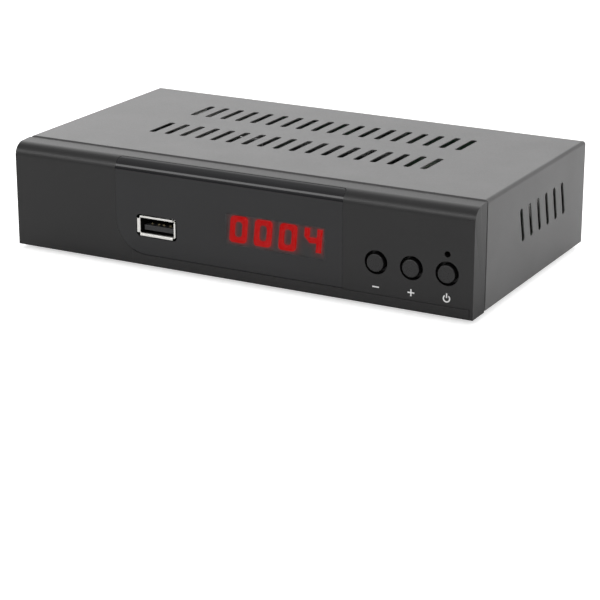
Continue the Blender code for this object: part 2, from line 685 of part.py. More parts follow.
def window_outline(margin):
    """Front outline (x, z) of the window, grown by a margin; its top runs past the case."""
    left, right = WINDOW_LEFT - margin, WINDOW_RIGHT + margin
    low = BASE_Z + LIP_TOP + GAP - margin
    radius = WINDOW_CORNER + margin
    corner = arc(left + radius, low + radius, radius, math.pi, 1.5 * math.pi)
    return corner + [(right, low), (right, TOP_Z + OVERRUN), (left, TOP_Z + OVERRUN)]


def make_lip():
    """The raised lip along the foot of the front, curling up at its left end."""
    centre_x, centre_z = WINDOW_LEFT + WINDOW_CORNER, BASE_Z + LIP_TOP + GAP + WINDOW_CORNER
    low, top = BASE_Z + LIP_FOOT, BASE_Z + LIP_TOP
    reach = WINDOW_CORNER - GAP
    curl = arc(centre_x, centre_z, reach, 1.5 * math.pi, 1.5 * math.pi - LIP_CURL)
    outline = [(curl[-1][0], low), (LIP_RIGHT, low), (LIP_RIGHT, top), (WINDOW_RIGHT, top)]
    outline += [(WINDOW_RIGHT, curl[0][1])] + curl
    return extruded("lip", [outline], FACE_Y - LIP_PROUD, FACE_Y + BEZEL_WALL / 2, "Y")


def make_bezel():
    """The moulded front: a hollow shell with a window recess, openings, bosses and tabs."""
    half, inner = HALF_WIDTH, HALF_WIDTH - BEZEL_WALL
    bezel = extruded("front_bezel", [bezel_profile(0.0, SEAM_Y)], -half, half, "X")

    def rounded_edge(a, b):
        if max(a.y, b.y) > SEAM_Y - MERGE and abs(a.y - b.y) < MERGE:
            return False
        at_end = min(abs(a.x), abs(b.x)) > half - MERGE and abs(a.x - b.x) < MERGE
        foot = max(a.z, b.z) < BASE_Z + MERGE and max(a.y, b.y) < FACE_Y + MERGE
        return at_end or foot

    weigh_edges(bezel, rounded_edge)
    bevel(bezel, END_ROUND, weighted=True)
    cut(bezel, extruded("bezel_inside", [bezel_profile(BEZEL_WALL, SEAM_Y + OVERRUN)], -inner, inner, "X"))
    join(bezel, make_lip())
    pocket_back = FACE_Y + WINDOW_DEPTH + GAP
    pocket = extruded("window_pocket", [window_outline(GAP)], FACE_Y - OVERRUN, pocket_back, "Y")
    floor = bezel_profile(WINDOW_THICKNESS + GAP, SEAM_Y + OVERRUN)
    cut(pocket, extruded("pocket_floor", [floor], -half, half, "X"))
    cut(bezel, pocket)
    holes = [circle(x, BUTTON_Z, BUTTON_HOLE_RADIUS) for x in BUTTON_PLACES_X]
    holes.append(circle(BUTTON_PLACES_X[-1], LAMP_Z, LAMP_HOLE_RADIUS, SMALL_SIDES))
    eye_left = EYE_PLACE_X - EYE_WIDTH / 2 - GAP
    module_right = DISPLAY_PLACE_X + MODULE_WIDTH / 2 + GAP
    opening_x, opening_width = (eye_left + module_right) / 2, module_right - eye_left
    holes.append(rectangle(opening_x, DIGIT_Z, opening_width, MODULE_HEIGHT + 2 * GAP))
    holes.append(usb_opening())
    cut(bezel, extruded("front_holes", holes, FACE_Y - OVERRUN, WALL_BACK_Y + GAP, "Y"))
    root = FACE_Y + BEZEL_WALL / 2 + WINDOW_THICKNESS / 2
    bosses = [circle(x, BASE_Z + z, BOSS_RADIUS, SMALL_SIDES) for x, z in FRONT_SCREW_PLACES]
    join(bezel, extruded("board_bosses", bosses, root, FRONT_BOARD_Y - GAP, "Y"))
    bores = [circle(x, BASE_Z + z, FRONT_SCREW_RADIUS + GAP, SMALL_SIDES) for x, z in FRONT_SCREW_PLACES]
    cut(bezel, extruded("boss_bores", bores, WALL_BACK_Y + GAP, FRONT_BOARD_Y, "Y"))
    hook_z = TRAY_FLOOR_Z + GAP + TAB_THICKNESS / 2
    hooks = [rectangle(x, hook_z, TAB_WIDTH, TAB_THICKNESS) for x in HOOK_PLACES_X]
    join(bezel, extruded("bezel_hooks", hooks, SEAM_Y - TAB_ROOT, SEAM_Y + TAB_REACH, "Y"))
    tab_x = inner + TAB_THICKNESS / 2 - GAP
    tab_z = BASE_Z + SIDE_TAB_SHARE * CASE_HEIGHT
    tabs = [rectangle(x, tab_z, TAB_THICKNESS, TAB_WIDTH) for x in (-tab_x, tab_x)]
    join(bezel, extruded("bezel_tabs", tabs, SEAM_Y - TAB_ROOT, SEAM_Y + TAB_REACH, "Y"))
    finish(bezel, "front_plastic")


def usb_opening():
    """Outline (x, z) of the hole round the USB socket's mouth."""
    width, height = USB_MOUTH_WIDTH + 2 * GAP, USB_MOUTH_HEIGHT + 2 * GAP
    return rounded(USB_PLACE_X, USB_Z, width, height, USB_OPENING_CORNER)


def make_window():
    """The glossy window, which follows the front's skin up over its top corner."""
    half = HALF_WIDTH
    back = FACE_Y + WINDOW_DEPTH
    window = extruded("display_window", [window_outline(0.0)], FACE_Y - OVERRUN, back, "Y")
    keep(window, extruded("window_skin", [bezel_profile(0.0, SEAM_Y)], -half, half, "X"))
    core = bezel_profile(WINDOW_THICKNESS, SEAM_Y + OVERRUN)
    cut(window, extruded("window_core", [core], -half, half, "X"))
    cut(window, extruded("window_usb_hole", [usb_opening()], FACE_Y - OVERRUN, WALL_BACK_Y, "Y"))
    finish(window, "window_plastic")


def make_buttons():
    """The three buttons with their plungers, each pair on its own axis, and the switches."""
    names = ("channel_down", "channel_up", "standby")
    for name, x in zip(names, BUTTON_PLACES_X):
        axis = bpy.data.objects.new(f"{name}_axis", None)
        PARTS.objects.link(axis)
        axis.location = (x, FACE_Y, BUTTON_Z)
        flange_front = FACE_Y - BUTTON_FLANGE_Y
        flange_back = flange_front - BUTTON_FLANGE
        cap = [(0.0, BUTTON_PROUD), (BUTTON_RADIUS - BUTTON_RIM, BUTTON_PROUD)]
        cap += [(BUTTON_RADIUS, BUTTON_PROUD - BUTTON_RIM), (BUTTON_RADIUS, flange_front)]
        cap += [(BUTTON_FLANGE_RADIUS, flange_front), (BUTTON_FLANGE_RADIUS, flange_back)]
        cap.append((0.0, flange_back))
        finish(turned(f"{name}_button", cap, (0.0, 0.0, 0.0), "front"), "button_plastic", axis)
        front = FACE_Y - PLUNGER_Y
        length = PLUNGER_PROUD + PLUNGER_INSIDE
        ends = (front - length, front)
        plunger = rod(f"{name}_plunger", PLUNGER_RADIUS, (0.0, 0.0, 0.0), "front", *ends, SMALL_SIDES)
        finish(plunger, "black_plastic", axis)
        low = BUTTON_Z - SWITCH_SIDE / 2
        switch = block(f"{name}_switch", x, SWITCH_SIDE, SWITCH_Y, SWITCH_DEPTH, low, SWITCH_SIDE)
        bore_end = SWITCH_Y + PLUNGER_INSIDE + BUTTON_TRAVEL + GAP
        hole = [circle(x, BUTTON_Z, PLUNGER_RADIUS + GAP, SMALL_SIDES)]
        cut(switch, extruded(f"{name}_switch_bore", hole, SWITCH_Y - OVERRUN, bore_end, "Y"))
        finish(switch, "plated_steel")


def make_lamp():
    """The standby lamp: a domed light behind its hole in the front."""
    length = FRONT_BOARD_Y - GAP - BUTTON_FLANGE_Y
    dome = [(LAMP_RADIUS * math.sin(t), length - LAMP_RADIUS * (1 - math.cos(t))) for t in quarter()]
    place = (BUTTON_PLACES_X[-1], FRONT_BOARD_Y - GAP, LAMP_Z)
    lamp = turned("standby_lamp", dome + [(LAMP_RADIUS, 0.0), (0.0, 0.0)], place, "front", SMALL_SIDES)
    finish(lamp, "lamp_plastic")


def quarter():
    """Angles of a quarter turn."""
    return [math.pi / 2 * i / ARC_STEPS for i in range(ARC_STEPS + 1)]


def segment_lines():
    """Ends of the seven segments' centre lines as (x, z) about a digit's middle, by letter."""
    a = (DIGIT_WIDTH - SEGMENT_WIDTH) / 2
    b = (DIGIT_HEIGHT - SEGMENT_WIDTH) / 2
    return {
        "a": ((-a, b), (a, b)),
        "b": ((a, 0.0), (a, b)),
        "c": ((a, -b), (a, 0.0)),
        "d": ((-a, -b), (a, -b)),
        "e": ((-a, -b), (-a, 0.0)),
        "f": ((-a, 0.0), (-a, b)),
        "g": ((-a, 0.0), (a, 0.0)),
    }


LIT_SEGMENTS = {"0": "abcdef", "4": "bcfg"}


def segment(x, line):
    """Outline (x, z) of one segment, pointed at both ends and clear of its neighbours."""
    (x0, z0), (x1, z1) = line
    half = SEGMENT_WIDTH / 2
    along_x = 1 if z0 == z1 else 0
    along_z = 1 - along_x
    tip = GAP / 2
    ends = ((x0 + along_x * tip, z0 + along_z * tip), (x1 - along_x * tip, z1 - along_z * tip))
    points = [ends[0]]
    for (px, pz), sign in ((ends[0], 1), (ends[1], -1)):
        shoulder = (px + sign * along_x * half, pz + sign * along_z * half)
        points.append((shoulder[0] + along_z * half, shoulder[1] - along_x * half))
    points.append(ends[1])
    for (px, pz), sign in ((ends[1], -1), (ends[0], 1)):
        shoulder = (px + sign * along_x * half, pz + sign * along_z * half)
        points.append((shoulder[0] - along_z * half, shoulder[1] + along_x * half))
    return [(x + px, DIGIT_Z + pz) for px, pz in points]


def digit_web(x, figure):
    """Outlines (x, z) of the narrow web behind a figure's segments."""
    a, b = (DIGIT_WIDTH - SEGMENT_WIDTH) / 2, (DIGIT_HEIGHT - SEGMENT_WIDTH) / 2
    half = WEB_WIDTH / 2
    if figure == "0":
        return [
            rectangle(x, DIGIT_Z, 2 * (a + half), 2 * (b + half)),
            rectangle(x, DIGIT_Z, 2 * (a - half), 2 * (b - half)),
        ]
    points = [(-a - half, b), (-a - half, -half), (a - half, -half), (a - half, -b), (a + half, -b)]
    points += [(a + half, b), (a - half, b), (a - half, half), (-a + half, half), (-a + half, b)]
    return [[(x + px, DIGIT_Z + pz) for px, pz in points]]


def make_digits():
    """The four lit figures: segments in front of the narrow web that carries them."""
    lines = segment_lines()
    web_y = DIGIT_Y + SEGMENT_PROUD
    for i, (step, figure) in enumerate(zip(spread(len(DIGIT_TEXT), DIGIT_PITCH), DIGIT_TEXT)):
        name, x = f"display_digit_{i + 1}", DISPLAY_PLACE_X + step
        digit = extruded(name, digit_web(x, figure), web_y, web_y + WEB_THICKNESS, "Y")
        lit = [segment(x, lines[letter]) for letter in LIT_SEGMENTS[figure]]
        join(digit, extruded(f"{name}_segments", lit, DIGIT_Y, web_y + WEB_THICKNESS / 2, "Y"))
        finish(digit, "red_light")


def make_display():
    """The display module and the remote control's eye on the front board."""
    depth = FRONT_BOARD_Y - GAP - MODULE_Y
    low = DIGIT_Z - MODULE_HEIGHT / 2
    module = block("display_module", DISPLAY_PLACE_X, MODULE_WIDTH, MODULE_Y, depth, low, MODULE_HEIGHT)
    finish(module, "black_plastic")
    front = WALL_BACK_Y + GAP
    eye_depth = FRONT_BOARD_Y - GAP - front
    low = DIGIT_Z - EYE_HEIGHT / 2
    eye = block("infrared_receiver", EYE_PLACE_X, EYE_WIDTH, front, eye_depth, low, EYE_HEIGHT)
    finish(bevel(eye, HOUSING_EDGE, 1), "black_plastic")


def make_front_board():
    """The upright board behind the front, and its three screws."""
    low = (FRONT_BOARD_LEFT, FRONT_BOARD_Y, BASE_Z + FRONT_BOARD_LOW)
    high = (FRONT_BOARD_RIGHT, FRONT_BOARD_BACK_Y, TOP_Z - FRONT_BOARD_TOP_CLEARANCE)
    board = box("front_board", low, high)
    places = [(x, BASE_Z + z) for x, z in FRONT_SCREW_PLACES]
    holes = [circle(x, z, FRONT_SCREW_RADIUS + GAP, SMALL_SIDES) for x, z in places]
    cut(board, extruded("front_board_holes", holes, low[1] - OVERRUN, high[1] + OVERRUN, "Y"))
    finish(board, "green_board")
    for name, (x, z) in zip(("left", "right", "middle"), places):
        head = [(0.0, FRONT_SCREW_HEAD_HEIGHT), (FRONT_SCREW_HEAD, FRONT_SCREW_HEAD_HEIGHT)]
        head += [(FRONT_SCREW_HEAD, 0.0), (FRONT_SCREW_RADIUS, 0.0)]
        head += [(FRONT_SCREW_RADIUS, -FRONT_SCREW_LENGTH), (0.0, -FRONT_SCREW_LENGTH)]
        where = (x, FRONT_BOARD_BACK_Y + GAP, z)
        finish(turned(f"front_board_screw_{name}", head, where, "back", SMALL_SIDES), "plated_steel")


def make_main_board():
    """The main board, with a tongue under the USB socket, and its four screws."""
    front, tongue = SEAM_Y + BOARD_FRONT, USB_FRONT_Y + USB_OVERHANG
    half = USB_SHELL_WIDTH / 2 + USB_BOARD_MARGIN
    left, right = USB_PLACE_X - half, USB_PLACE_X + half
    board = box("main_board", (BOARD_LEFT, front, BOARD_LOW_Z), (BOARD_RIGHT, BOARD_BACK_Y, BOARD_TOP_Z))
    join(board, box("board_tongue", (left, tongue, BOARD_LOW_Z), (right, front + GAP, BOARD_TOP_Z)))
    places = board_screw_places()
    holes = [circle(x, y, SCREW_RADIUS + GAP, SMALL_SIDES) for x, y in places]
    cut(board, extruded("main_board_holes", holes, BOARD_LOW_Z - OVERRUN, BOARD_TOP_Z + OVERRUN, "Z"))
    finish(board, "green_board")
    names = ("front_left", "front_right", "rear_left", "rear_right")
    for name, (x, y) in zip(names, places):
        head = [(0.0, SCREW_HEAD_HEIGHT), (SCREW_HEAD_RADIUS, SCREW_HEAD_HEIGHT), (SCREW_HEAD_RADIUS, 0.0)]
        shank = [(SCREW_RADIUS, 0.0), (SCREW_RADIUS, -SCREW_LENGTH), (0.0, -SCREW_LENGTH)]
        screw = turned(f"board_screw_{name}", head + shank, (x, y, ON_BOARD_Z), "up", SMALL_SIDES)
        finish(screw, "plated_steel")


def tapered(name, width, height, mouth_width, mouth_height, front, depth):
    """Makes a block about the USB socket's axis that widens from its back to its mouth."""
    low = (USB_PLACE_X - width / 2, front, USB_Z - height / 2)
    high = (USB_PLACE_X + width / 2, front + depth, USB_Z + height / 2)
    ob = box(name, low, high)
    for v in ob.data.vertices:
        if v.co.y < front + depth / 2:
            v.co.x = USB_PLACE_X + (v.co.x - USB_PLACE_X) * mouth_width / width
            v.co.z = USB_Z + (v.co.z - USB_Z) * mouth_height / height
    return ob


def make_usb():
    """The USB socket: a steel shell with four flared lips, and its contact tongue."""
    shell = block(
        "usb_shell",
        USB_PLACE_X,
        USB_SHELL_WIDTH,
        USB_FRONT_Y + USB_MOUTH_DEPTH,
        USB_SHELL_LENGTH - USB_MOUTH_DEPTH,
        USB_Z - USB_SHELL_HEIGHT / 2,
        USB_SHELL_HEIGHT,
    )
    flare = tapered(
        "usb_flare",
        USB_SHELL_WIDTH - USB_SHELL_WALL / 2,
        USB_SHELL_HEIGHT - USB_SHELL_WALL / 2,
        USB_MOUTH_WIDTH,
        USB_MOUTH_HEIGHT,
        USB_FRONT_Y,
        USB_MOUTH_DEPTH + GAP,
    )
    join(shell, flare)
    thin = 2 * USB_SHELL_WALL
    mouth = tapered(
        "usb_mouth",
        USB_BORE_WIDTH - GAP,
        USB_BORE_HEIGHT - GAP,
        USB_MOUTH_WIDTH - thin,
        USB_MOUTH_HEIGHT - thin,
        USB_FRONT_Y - MERGE,
        USB_MOUTH_DEPTH + OVERRUN,
    )
    cut(shell, mouth)
    back = USB_FRONT_Y + USB_SHELL_LENGTH
    bore_front = USB_FRONT_Y + USB_MOUTH_DEPTH / 2
    bore_depth = back - bore_front - USB_SHELL_WALL
    low = USB_Z - USB_BORE_HEIGHT / 2
    cut(shell, block("usb_bore", USB_PLACE_X, USB_BORE_WIDTH, bore_front, bore_depth, low, USB_BORE_HEIGHT))
    side = 2 * USB_MOUTH_SLIT
    slits = [
        rectangle(USB_PLACE_X + i * USB_MOUTH_WIDTH / 2, USB_Z + j * USB_MOUTH_HEIGHT / 2, side, side)
        for i in (-1, 1)
        for j in (-1, 1)
    ]
    cut(shell, extruded("usb_slits", slits, USB_FRONT_Y - OVERRUN, USB_FRONT_Y + USB_MOUTH_DEPTH / 2, "Y"))
    finish(shell, "nickel")
    front = USB_FRONT_Y + USB_TONGUE_SET_BACK
    root_y = back - USB_SHELL_WALL - GAP
    low += GAP
    rise = low + USB_TONGUE_RISE
    start = root_y - USB_TONGUE_ROOT
    width, height = USB_BORE_WIDTH - 2 * GAP, USB_BORE_HEIGHT - 2 * GAP
    tongue = block("usb_tongue", USB_PLACE_X, width, start, USB_TONGUE_ROOT, low, height)
    length = start + GAP - front
    join(tongue, block("usb_blade", USB_PLACE_X, USB_TONGUE_WIDTH, front, length, rise, USB_TONGUE_HEIGHT))
    finish(tongue, "white_plastic")


def make_ribbon():
    """The two headers and the ribbon cable between the boards."""
    upper_z = BASE_Z + FRONT_HEADER_RISE_SHARE * CASE_HEIGHT
    low = upper_z - HEADER_HEIGHT / 2
    front = FRONT_BOARD_BACK_Y + GAP
    upper = block("front_header", HEADER_PLACE_X, HEADER_WIDTH, front, HEADER_DEPTH, low, HEADER_HEIGHT)
    finish(upper, "white_plastic")
    middle_y = SEAM_Y + MAIN_HEADER_FROM_SEAM
    lower = block(
        "main_header",
        HEADER_PLACE_X,
        HEADER_WIDTH,
        middle_y - HEADER_DEPTH / 2,
        HEADER_DEPTH,
        ON_BOARD_Z,
        HEADER_HEIGHT,
    )
    finish(lower, "white_plastic")
    y0, z0 = front + HEADER_DEPTH + GAP, upper_z
    z1 = ON_BOARD_Z + HEADER_HEIGHT + GAP
    outer, inner = [], []
    half = RIBBON_THICKNESS / 2
    for t in quarter():
        y = y0 + (middle_y - y0) * math.sin(t)
        z = z1 + (z0 - z1) * math.cos(t)
        outer.append((y + half * math.sin(t), z + half * math.cos(t)))
        inner.append((y - half * math.sin(t), z - half * math.cos(t)))
    left = HEADER_PLACE_X - RIBBON_WIDTH / 2
    ribbon = extruded("ribbon_cable", [outer + inner[::-1]], left, left + RIBBON_WIDTH, "X")
    finish(ribbon, "ribbon_grey")


def make_tuner():
    """The tuner can and its two threaded aerial sockets."""
    back = PANEL_FRONT_Y - TUNER_BACK_CLEARANCE
    width, depth = TUNER_WIDTH_SHARE * CASE_WIDTH, TUNER_DEPTH_SHARE * COVER_DEPTH
    can = block("tuner_can", TUNER_PLACE_X, width, back - depth, depth, ON_BOARD_Z, TUNER_HEIGHT)
    finish(bevel(can, TUNER_EDGE, 1), "plated_steel")
    reach = PANEL_BACK_Y + AERIAL_REACH - back - GAP
    for name, x in zip(("satellite_out", "satellite_in"), AERIAL_PLACES_X):
        bore = reach - AERIAL_BORE_DEPTH
        barrel = [(0.0, bore), (AERIAL_BORE_RADIUS, bore), (AERIAL_BORE_RADIUS, reach)]
        barrel += [(AERIAL_RADIUS - AERIAL_EDGE, reach), (AERIAL_RADIUS, reach - AERIAL_EDGE)]
        barrel += [(AERIAL_RADIUS, AERIAL_COLLAR), (AERIAL_COLLAR_RADIUS, AERIAL_COLLAR)]
        barrel += [(AERIAL_COLLAR_RADIUS, 0.0), (0.0, 0.0)]
        place = (x, back + GAP, ON_BOARD_Z + AERIAL_RISE)
        finish(turned(f"{name}_socket", barrel, place, "back"), "nickel")


def hdmi_outline(inset):
    """Rear outline (x, z) of the HDMI shell, with its two lower corners cut away."""
    a, low = HDMI_WIDTH / 2 - inset, ON_BOARD_Z + inset
    high, c = ON_BOARD_Z + HDMI_HEIGHT - inset, HDMI_CHAMFER
    points = [(-a + c, low), (a - c, low), (a, low + c), (a, high), (-a, high), (-a, low + c)]
    return [(HDMI_PLACE_X + x, z) for x, z in points]


def make_hdmi():
    """The HDMI socket: a steel shell and the tongue in it."""
    back = PANEL_BACK_Y + HDMI_REACH
    front = back - HDMI_DEPTH
    shell = extruded("hdmi_shell", [hdmi_outline(0.0)], front, back, "Y")
    cut(shell, extruded("hdmi_bore", [hdmi_outline(HDMI_WALL)], front + HDMI_WALL, back + OVERRUN, "Y"))
    finish(shell, "nickel")
    root = front + HDMI_WALL + GAP
    base = extruded("hdmi_tongue", [hdmi_outline(HDMI_WALL + GAP)], root, root + HDMI_TONGUE_ROOT, "Y")
    start = root + HDMI_TONGUE_ROOT - GAP
    middle = ON_BOARD_Z + HDMI_HEIGHT / 2
    blade = block(
        "hdmi_blade",
        HDMI_PLACE_X,
        HDMI_TONGUE_WIDTH,
        start,
        back - HDMI_TONGUE_SET_BACK - start,
        middle,
        HDMI_TONGUE_HEIGHT,
    )
    finish(join(base, blade), "black_plastic")


def make_phono():
    """The block of three phono sockets, each with a metal barrel and a coloured insert."""
    centre = sum(PHONO_PLACES_X) / len(PHONO_PLACES_X)
    width = max(PHONO_PLACES_X) - min(PHONO_PLACES_X) + 2 * PHONO_BLOCK_MARGIN
    back = PANEL_FRONT_Y - GAP
    front = back - PHONO_BLOCK_DEPTH
    body = block("phono_block", centre, width, front, PHONO_BLOCK_DEPTH, ON_BOARD_Z, PHONO_BLOCK_HEIGHT)
    finish(bevel(body, HOUSING_EDGE, 1), "black_plastic")
    reach = PANEL_BACK_Y + PHONO_REACH - back - GAP
    colours = ("yellow_plastic", "white_plastic", "red_plastic")
    for name, colour, x in zip(PHONO_NAMES, colours, PHONO_PLACES_X):
        place = (x, back + GAP, ON_BOARD_Z + PHONO_RISE)
        inner = PHONO_RADIUS - PHONO_WALL
        ring = [(PHONO_RADIUS, reach), (PHONO_RADIUS, 0.0), (inner, 0.0), (inner, reach)]
        finish(turned(f"{name}_barrel", ring, place, "back", closed=True), "nickel")
        outer, end = inner - GAP, reach - PHONO_INSERT_SET_BACK
        bore = end - PHONO_BORE_DEPTH
        insert = [(0.0, bore), (PHONO_BORE_RADIUS, bore), (PHONO_BORE_RADIUS, end)]
        insert += [(outer, end), (outer, 0.0), (0.0, 0.0)]
        finish(turned(f"{name}_insert", insert, place, "back"), colour)


def make_power():
    """The power inlet and its centre pin."""
    back = PANEL_BACK_Y + POWER_REACH
    front = back - POWER_DEPTH
    jack = block("power_jack", POWER_PLACE_X, POWER_WIDTH, front, POWER_DEPTH, ON_BOARD_Z, POWER_HEIGHT)
    z = ON_BOARD_Z + POWER_RISE
    bore = [circle(POWER_PLACE_X, z, POWER_BORE_RADIUS)]
    bore_front = back - POWER_BORE_DEPTH
    cut(jack, extruded("power_bore", bore, bore_front, back + OVERRUN, "Y"))
    finish(jack, "black_plastic")
    place = (POWER_PLACE_X, bore_front + GAP, z)
    pin = rod("power_pin", POWER_PIN_RADIUS, place, "back", 0.0, POWER_PIN_LENGTH, SMALL_SIDES)
    finish(pin, "nickel")


def on_board(shares):
    """Place (x, y) on the main board of its shares across and back."""
    across, back = shares
    return across * CASE_WIDTH, SEAM_Y + back * COVER_DEPTH


def make_board_parts():
    """The chips, the heat sink and the capacitors on the main board."""
    x, y = on_board(CHIP_SHARES)
    chip = block("main_chip", x, CHIP_SIDE, y - CHIP_SIDE / 2, CHIP_SIDE, ON_BOARD_Z, CHIP_HEIGHT)
    finish(chip, "chip_resin")
    low = ON_BOARD_Z + CHIP_HEIGHT + GAP
    half, floor, top = SINK_SIDE / 2, low + SINK_BASE, low + SINK_HEIGHT
    comb = [(x - half, low), (x + half, low)]
    for place in reversed(spread(SINK_FINS, (SINK_SIDE - SINK_FIN) / (SINK_FINS - 1))):
        right, left = x + place + SINK_FIN / 2, x + place - SINK_FIN / 2
        comb += [(right, floor), (right, top), (left, top), (left, floor)]
    comb = [comb[0], comb[1]] + comb[3:-1]
    sink = extruded("heat_sink", [comb], y - half, y + half, "Y")
    finish(sink, "sink_metal")
    x, y = on_board(MEMORY_SHARES)
    front = y - MEMORY_DEPTH / 2
    memory = block("memory_chip", x, MEMORY_WIDTH, front, MEMORY_DEPTH, ON_BOARD_Z, MEMORY_HEIGHT)
    finish(memory, "chip_resin")
    cans = (
        ("big_capacitor", BIG_CAPACITOR_SHARES, BIG_CAPACITOR_RADIUS, BIG_CAPACITOR_HEIGHT),
        ("small_capacitor", SMALL_CAPACITOR_SHARES, SMALL_CAPACITOR_RADIUS, SMALL_CAPACITOR_HEIGHT),
    )
    for name, shares, radius, height in cans:
        can = rod(name, radius, (*on_board(shares), ON_BOARD_Z), "up", 0.0, height)
        finish(can, "capacitor_sleeve")


clear_scene()
PARTS = new_collection("satellite_tv_receiver")
CUTTERS = new_collection("cutters")
CASE = bpy.data.objects.new("case", None)
PARTS.objects.link(CASE)
make_cover()
make_cover_screws()
make_tray()
make_feet()
make_bezel()
make_window()
make_buttons()
make_lamp()
make_display()
make_digits()
make_front_board()
make_main_board()
make_usb()
make_ribbon()
make_tuner()
make_hdmi()
make_phono()
make_power()
make_board_parts()
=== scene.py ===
"""Looks of a small satellite television receiver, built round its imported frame.

The front faces -Y and the top +Z, and lengths are metres, as in the frame. Places come from the
frame's boxes, and each finer piece stands where the node that it replaces is.
"""
import json
import math

import bmesh
import bpy
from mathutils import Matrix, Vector

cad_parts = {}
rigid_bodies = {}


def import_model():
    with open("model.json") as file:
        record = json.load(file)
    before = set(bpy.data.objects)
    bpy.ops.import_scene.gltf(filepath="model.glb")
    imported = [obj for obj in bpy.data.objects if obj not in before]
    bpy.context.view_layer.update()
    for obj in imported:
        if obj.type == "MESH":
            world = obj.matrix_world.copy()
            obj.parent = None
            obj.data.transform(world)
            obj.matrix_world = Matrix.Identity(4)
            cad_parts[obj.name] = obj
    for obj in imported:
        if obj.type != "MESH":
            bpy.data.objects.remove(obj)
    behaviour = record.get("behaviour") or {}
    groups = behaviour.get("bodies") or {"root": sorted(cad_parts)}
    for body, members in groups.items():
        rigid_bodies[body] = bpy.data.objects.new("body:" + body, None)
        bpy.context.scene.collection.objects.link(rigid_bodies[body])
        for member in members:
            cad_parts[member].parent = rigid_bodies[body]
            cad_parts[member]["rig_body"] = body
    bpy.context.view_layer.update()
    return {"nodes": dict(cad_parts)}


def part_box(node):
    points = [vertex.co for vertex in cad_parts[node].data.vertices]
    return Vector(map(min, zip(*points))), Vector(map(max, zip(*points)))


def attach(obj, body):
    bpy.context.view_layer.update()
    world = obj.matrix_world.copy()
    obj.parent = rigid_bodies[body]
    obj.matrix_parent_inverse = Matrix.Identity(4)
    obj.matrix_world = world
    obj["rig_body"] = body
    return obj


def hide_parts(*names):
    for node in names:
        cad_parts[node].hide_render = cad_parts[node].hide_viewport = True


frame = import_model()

NODES = frame["nodes"]
CASE = "case"

# Camera, fitted to the photograph
CAMERA_PLACE = (0.31883, -0.59594, 0.21044)
CAMERA_TURN = math.radians(28.312)
CAMERA_DROP = math.radians(18.841)
CAMERA_LENS = 124.01
CAMERA_SENSOR = 36.0

# Planes of the case, from the frame
COVER_LOW, COVER_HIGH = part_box("top_cover")
WINDOW_LOW, WINDOW_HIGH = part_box("display_window")
PANEL_BACK_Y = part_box("chassis_tray")[1].y
HALF_WIDTH = COVER_HIGH.x
GAP = 0.0003
SEAM_Y = COVER_LOW.y - GAP
FACE_Y = WINDOW_LOW.y
REAR_Y = COVER_HIGH.y
BASE_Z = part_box("front_bezel")[0].z
TOP_Z = COVER_HIGH.z
FORWARD, BACK, UP = (0.0, -1.0, 0.0), (0.0, 1.0, 0.0), (0.0, 0.0, 1.0)
OVERRUN = 0.001
MERGE = 0.00001
CORNERS = ("front_left", "front_right", "rear_left", "rear_right")

# Angles in degrees above which an edge is shaded sharp, or is rounded
PLAIN_EDGE = 16.0
FRONT_EDGE = 14.0
TURNED_EDGE = 28.0
SMALL_EDGE = 40.0
STEEP_EDGE = 50.0

# Rounding of small parts
FINE_ROUND = 0.0001
SOFT_ROUND = 0.0002

# Cover
SHEET = 0.0008
BEND_RADIUS = 0.0012
BEND_STEPS = 6
COVER_EDGE = 0.0003
FLANGE_HEIGHT = 0.008
FLANGE_SLIT = 0.0016
SLOT_WIDTH = 0.0021
SLOT_CORNER = 0.00095
TOP_SLOT_EXTRA = 0.0002
TOP_SLOT_SHIFT = 0.0003
SLOT_RIM = 0.0003
SLOT_RELIEF = 0.0018
TOP_SLOT_LENGTH = 0.01445
TOP_SLOT_PITCH = 0.00599
TOP_SLOTS = 18
TOP_ROWS = (0.0305, 0.05755)
SIDE_SLOTS = 6
SIDE_SLOT_PITCH = 0.00692
SIDE_SLOT_MIDDLE = 0.0456
SIDE_SLOT_RISE = 0.02054
SIDE_SLOT_LENGTH = 0.0116
SIDE_SLOT_LEAN = math.radians(14.0)

# Front
FRONT_WALL = 0.0024
COVER_PROUD = 0.00035
TOP_SLOPE = math.radians(3.0)
CORNER_RADIUS = 0.0044
CORNER_STEPS = 24
END_ROUND = 0.001
END_STEPS = 8
REBATE = 0.00045
REBATE_DEPTH = 0.0011
LIP_TOP = 0.0033
LIP_FOOT = 0.0005
LIP_PROUD = 0.00032
LIP_SET_IN = 0.0012
LIP_CURL = math.radians(27.0)
LIP_EDGE = 0.00014

# Window
WINDOW_THICKNESS = 0.0012
WINDOW_CORNER = 0.0114
WINDOW_PLAN_CORNER = 0.0015
WINDOW_SLIT = 0.00004
WINDOW_TOP_SLIT = 0.0003
WINDOW_EDGE = 0.00012
CLEAR_SOFTNESS = 0.0009
CLEAR_REACH_X = 0.0014
CLEAR_REACH_Z = 0.0005
CLEAR_ALPHA = 0.25
# Level of grey light that the display's face gives off, a painted reflection as bright as the window's
# reflection elsewhere
PAINTED_REFLECTION_LEVEL = 0.042

# Buttons and lamp
BUTTONS = ("channel_down", "channel_up", "standby")
BUTTON_HOLE_RADIUS = 0.0039
BUTTON_RADIUS = 0.0029
BUTTON_FILLET = 0.00035
BUTTON_DISH = 0.00008
BUTTON_DISH_SHARE = 0.6
BUTTON_FLANGE = 0.0008
LAMP_HOLE_RADIUS = 0.001

